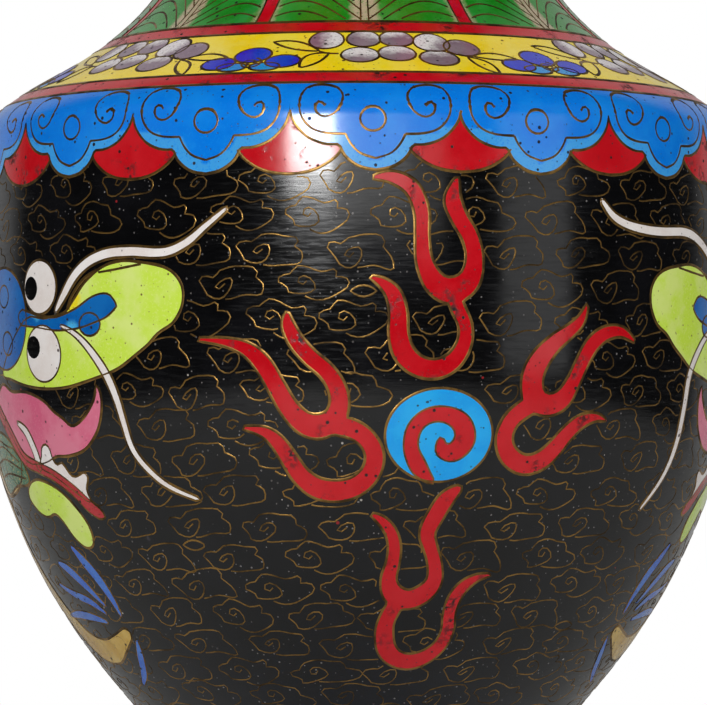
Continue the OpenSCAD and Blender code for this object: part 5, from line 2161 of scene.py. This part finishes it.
@dataclass(frozen=True)
class CloudField:
    """Rows of wire clouds over the black ground."""

    row_pitch: float = 6.2
    cloud_pitch: float = 14.4
    top_row: float = 13.6
    low_row: float = -97.0
    tilt_degrees: float = 4.0
    seed: int = 20
    motif: tuple = (
        (-1.2, 0.2), (-1.5, -0.1), (-2, -0.7), (-2.7, -0.5), (-2.8, 0.3), (-1.9, 1.1), (-0.6, 1),
        (0.3, -0.1), (0.3, -1.1), (-0.6, -2), (-2, -2.5), (-3.8, -2.4), (-4.7, -1.9), (-4.9, -0.8),
        (-6.1, -0.3), (-6.6, 0.5), (-6.2, 1), (-5.2, 1.4), (-4, 1.5), (-3.3, 2.5), (-2.4, 3), (-0.2, 3),
        (1.5, 2.6), (3.9, 2.7), (4.4, 2.1), (4.2, 1), (5.5, 0.5), (6.4, -0.1), (6.7, -1), (6.2, -2),
        (5.1, -2.4), (3, -2.8), (0.5, -3.1), (-1.1, -2.8),
    )
    curl: tuple = (
        (-0.2, 0.9), (0.8, -0.2), (1.6, -1.0), (0.5, -1.4), (-0.9, -0.8), (-1.2, 0.4), (-0.4, 1.5),
        (1.0, 1.9), (2.6, 1.4), (2.9, 0.2), (2.2, -1.2), (0.8, -2.0), (-1.6, -1.9), (-2.9, -0.8),
        (-2.9, 0.8), (-1.8, 1.8),
    )

    def build(self, shop: Workshop, mask: FigureMask) -> None:
        """Lay the clouds on the ground.

        Args:
            shop: The workshop.
            mask: The figures' mask.
        """
        luck = np.random.default_rng(self.seed)
        shapes = bpy.data.collections.new("cloud_shapes")
        helpers = [self._shape(luck, k, shapes) for k in range(7)]
        sheet = mask.sheet()
        spots, sizes = self._spots(shop.wall, mask, luck)
        values = shop.common() | {
            "Material": Finish.BRASS.material(), "Wire width": 0.28, "Wire height": 0.07, "Unevenness": 0.3,
            "Seed": self.seed, "Cloud shapes": shapes, "Figures": sheet,
            "Tilt": math.radians(self.tilt_degrees),
        }
        front = np.abs((spots[:, 0] + HALF_WAY) % TURN_W - HALF_WAY) < TURN_W / 4
        for label, pick in (("front", front), ("back", ~front)):
            flat = Flat(spots[pick])
            obj = shop.run(
                f"cloud_wires_{label}", flat, shop.trees.clouds, values, {"stretch": sizes[pick]},
            )
            shop.finish(obj, ["body_ground"], Finish.BRASS, 75.0)
        self._fillers(shop, mask, spots, sizes, luck)
        for obj in helpers + [sheet]:
            bpy.data.objects.remove(obj)
        bpy.data.collections.remove(shapes)

    def _shape(self, luck: np.random.Generator, number: int, shelf: bpy.types.Collection) -> bpy.types.Object:
        """Bend one cloud out of the pattern, as a hand would.

        Args:
            luck: The source of random numbers.
            number: The cloud's number.
            shelf: The collection that keeps it.

        Returns:
            The cloud's object.
        """
        line = spaced(smooth(self.motif, 4), 1.12, False)
        waves = luck.uniform(-1, 1, (4, 2)) * 0.42
        for k, (a, b) in enumerate(waves):
            line[:, 0] += a * np.sin(line[:, 1] * (0.5 + 0.2 * k) + k)
            line[:, 1] += b * np.sin(line[:, 0] * (0.35 + 0.12 * k) + 2 * k)
        mesh = bpy.data.meshes.new(f"cloud_{number}")
        mesh.from_pydata([(x, y, 0.0) for x, y in line], [(i, i + 1) for i in range(len(line) - 1)], [])
        obj = bpy.data.objects.new(f"cloud_{number}", mesh)
        shelf.objects.link(obj)
        return obj

    def _spots(
        self, wall: WallCurve, mask: FigureMask, luck: np.random.Generator
    ) -> tuple[np.ndarray, np.ndarray]:
        """Choose the clouds' places, row by row, and their stretch.

        Args:
            wall: The vase's outer line.
            mask: The figures' mask.
            luck: The source of random numbers.

        Returns:
            The places and the stretches.
        """
        spots, sizes = [], []
        motif = np.array(self.motif)
        for row, v in enumerate(np.arange(self.top_row, self.low_row, -self.row_pitch)):
            swell = wall.radius_at(0.0) / wall.radius_at(v)
            count = int(round(TURN_W / (self.cloud_pitch * swell)))
            for k in range(count):
                u = (k + 0.5 * (row % 2) + luck.uniform(-0.07, 0.07)) * TURN_W / count
                at = v + luck.uniform(-0.5, 0.5)
                size = np.array([swell * luck.uniform(0.86, 1.0), luck.uniform(0.86, 1.02)])
                taken = mask.share(motif * size + [u, at])
                if taken < 0.5:
                    spots.append((u, at, 0.0))
                    sizes.append((*size, 1.0))
        return np.array(spots), np.array(sizes)

    def _fillers(
        self, shop: Workshop, mask: FigureMask, spots: np.ndarray, sizes: np.ndarray,
        luck: np.random.Generator,
    ) -> None:
        """Put little curls and almonds in the gaps that are left.

        Args:
            shop: The workshop.
            mask: The figures' mask.
            spots: The clouds' places.
            sizes: The clouds' stretches.
            luck: The source of random numbers.
        """
        placed = [(u, v, 6.6 * s[0], 3.0 * s[1]) for (u, v, _), s in zip(spots, sizes)]
        lines = Wires()
        curl, leaf = smooth(self.curl, 3), almond((-2.3, 0), (2.3, 0), 1.0)
        for _ in range(5200):
            u, v = luck.uniform(-HALF_WAY, HALF_WAY), luck.uniform(self.low_row, 19.0)
            swell = shop.wall.radius_at(0.0) / shop.wall.radius_at(v)
            shape, reach = (curl, (3.4, 2.3)) if luck.random() < 0.5 else (leaf, (2.8, 1.5))
            drawing = shape * [swell, 1.0] + [u, v]
            ring_points = oval(u, v, reach[0] * swell, reach[1], 16)
            if mask.share(np.vstack([drawing, ring_points])) > 0.0:
                continue
            clear = all(
                ((abs((u - a + HALF_WAY) % TURN_W - HALF_WAY)) / (w + reach[0] * swell * 0.9)) ** 2
                + ((v - b) / (h + reach[1] * 0.9)) ** 2 > 1.0
                for a, b, w, h in placed
            )
            if clear:
                placed.append((u, v, reach[0] * swell, reach[1]))
                lines.add(drawing, shape is leaf, 0.9)
        shop.wire("cloud_fillers", lines, ["body_ground"], 0.34, 0.05)


# ---- studio ----


@dataclass(frozen=True)
class Panel:
    """A soft studio light seen from the vase."""

    name: str
    turn: float
    lift: float
    distance: float
    width: float
    height: float
    glow: float
    in_gloss: bool = True
    tint: str = "#FFFFFF"

    def place(self, target: Vector) -> None:
        """Hang the light.

        Args:
            target: The point it looks at.
        """
        a, b = math.radians(self.turn), math.radians(self.lift)
        away = Vector((math.sin(a) * math.cos(b), -math.cos(a) * math.cos(b), math.sin(b)))
        data = bpy.data.lights.new(self.name, "AREA")
        data.shape = "RECTANGLE"
        data.size, data.size_y = self.width, self.height
        data.energy = self.glow * math.pi * self.width * self.height
        data.color = linear(self.tint)[:3]
        obj = bpy.data.objects.new(self.name, data)
        bpy.context.scene.collection.objects.link(obj)
        obj.location = target + away * self.distance
        obj.rotation_euler = (-away).to_track_quat("-Z", "Y").to_euler()
        obj.visible_camera = False
        obj.visible_glossy = self.in_gloss


@dataclass(frozen=True)
class Studio:
    """Camera, lights, floor and surroundings."""

    camera_back: float = 0.700
    camera_height: float = 0.118
    pitch_degrees: float = 0.649
    yaw_degrees: float = 0.064
    lens: float = 182.14
    floor_radius: float = 0.62
    panels: tuple[Panel, ...] = (
        Panel("key_softbox", -13, 12, 0.95, 0.20, 0.11, 42.0),
        Panel("broad_panel", 4, 10, 0.9, 0.66, 0.20, 0.9),
        Panel("inner_panel", 2, 10, 0.88, 0.40, 0.15, 1.1),
        Panel("right_panel", 52, 4, 0.9, 0.34, 0.42, 0.9),
        Panel("front_fill", 0, 38, 1.0, 1.0, 0.8, 0.85, False),
        Panel("left_fill", -75, 20, 0.9, 0.7, 0.8, 0.9, False),
        Panel("right_fill", 75, 20, 0.9, 0.7, 0.8, 0.9, False),
        Panel("back_fill", 180, 30, 1.0, 0.8, 0.8, 1.8, False),
    )

    def build(self) -> None:
        """Set the studio up round the vase."""
        low, high = CAD_BOX
        target = Vector((0.0, 0.0, low.z + 0.55 * (high.z - low.z)))
        self._camera()
        for panel in self.panels:
            panel.place(target)
        self._floor(low.z)
        self._world()
        bpy.context.scene.view_settings.view_transform = "Standard"

    def _camera(self) -> None:
        """Stand the camera in front of the vase."""
        data = bpy.data.cameras.new("studio_camera")
        data.lens = self.lens
        data.sensor_width = 36.0
        data.clip_start = 0.05
        obj = bpy.data.objects.new("studio_camera", data)
        bpy.context.scene.collection.objects.link(obj)
        obj.location = (0.0, -self.camera_back, self.camera_height)
        obj.rotation_euler = (math.radians(90 + self.pitch_degrees), 0.0, math.radians(self.yaw_degrees))
        bpy.context.scene.camera = obj

    def _floor(self, level: float) -> None:
        """Lay a round pale floor.

        Args:
            level: Height of the vase's foot, m.
        """
        count = 64
        rim = [
            (
                self.floor_radius * math.cos(2 * math.pi * i / count),
                self.floor_radius * math.sin(2 * math.pi * i / count), level - 0.0002,
            )
            for i in range(count)
        ]
        mesh = bpy.data.meshes.new("studio_floor")
        mesh.from_pydata(rim, [], [tuple(range(count))])
        sheet = Sheet("White paper floor")
        sheet.set(Base_Color=linear("#C9C9C7"), Roughness=0.8, IOR=1.45)
        mesh.materials.append(sheet.material)
        obj = bpy.data.objects.new("studio_floor", mesh)
        bpy.context.scene.collection.objects.link(obj)

    @staticmethod
    def _world() -> None:
        """White behind the vase, dark in its gloss, soft on its colours."""
        world = bpy.data.worlds.new("studio")
        bpy.context.scene.world = world
        world.use_nodes = True
        tree = world.node_tree
        tree.nodes.clear()
        build = TreeBuilder(tree)
        path = build.add("ShaderNodeLightPath").outputs
        around = build.add("ShaderNodeTexCoord").outputs["Generated"]
        way = build.add("ShaderNodeSeparateXYZ", [around]).outputs
        sweep = build.add(RAMP, (way[1], 0.46, 0.68, 0.02, 0.45), **SOFT)
        white = linear("#FFFFFF")
        backdrop = build.add("ShaderNodeBackground", {"Color": white, "Strength": 1.0})
        gloss = build.add("ShaderNodeBackground", {"Color": white, "Strength": sweep})
        soft = build.add("ShaderNodeBackground", {"Color": white, "Strength": 0.16})
        inner = build.add("ShaderNodeMixShader", (path["Is Glossy Ray"], soft, gloss))
        outer = build.add("ShaderNodeMixShader", (path["Is Camera Ray"], inner, backdrop))
        build.add("ShaderNodeOutputWorld", {"Surface": outer})


def main() -> None:
    """Build the vase, dress it and set the studio round it."""
    logging.basicConfig(level=logging.INFO, format="%(name)s %(message)s")
    sizes = VaseSizes.from_cad()
    LOG.info("sizes %s", sizes)
    shop = Workshop(sizes)
    edges = BandEdges.of(shop.wall)
    LOG.info("edges %s", edges)
    mask = FigureMask()
    core = CopperCore()
    core.dress()
    PlainBands(edges).build(shop)
    ShoulderBorder().build(shop, edges, mask)
    FlowerBand().build(shop)
    LeafRing().build(shop, edges)
    PetalRing().build(shop, edges)
    PearlAndFlames("front", 0.0).build(shop, mask)
    PearlAndFlames("back", HALF_WAY).build(shop, mask)
    for side in Side:
        Dragon(side).build(shop, mask)
    CloudField().build(shop, mask)
    shop.clear()
    for piece in [*core.nodes, *shop.pieces]:
        LOG.info("piece %s", piece)
    Studio().build()


if __name__ == "__main__":
    main()
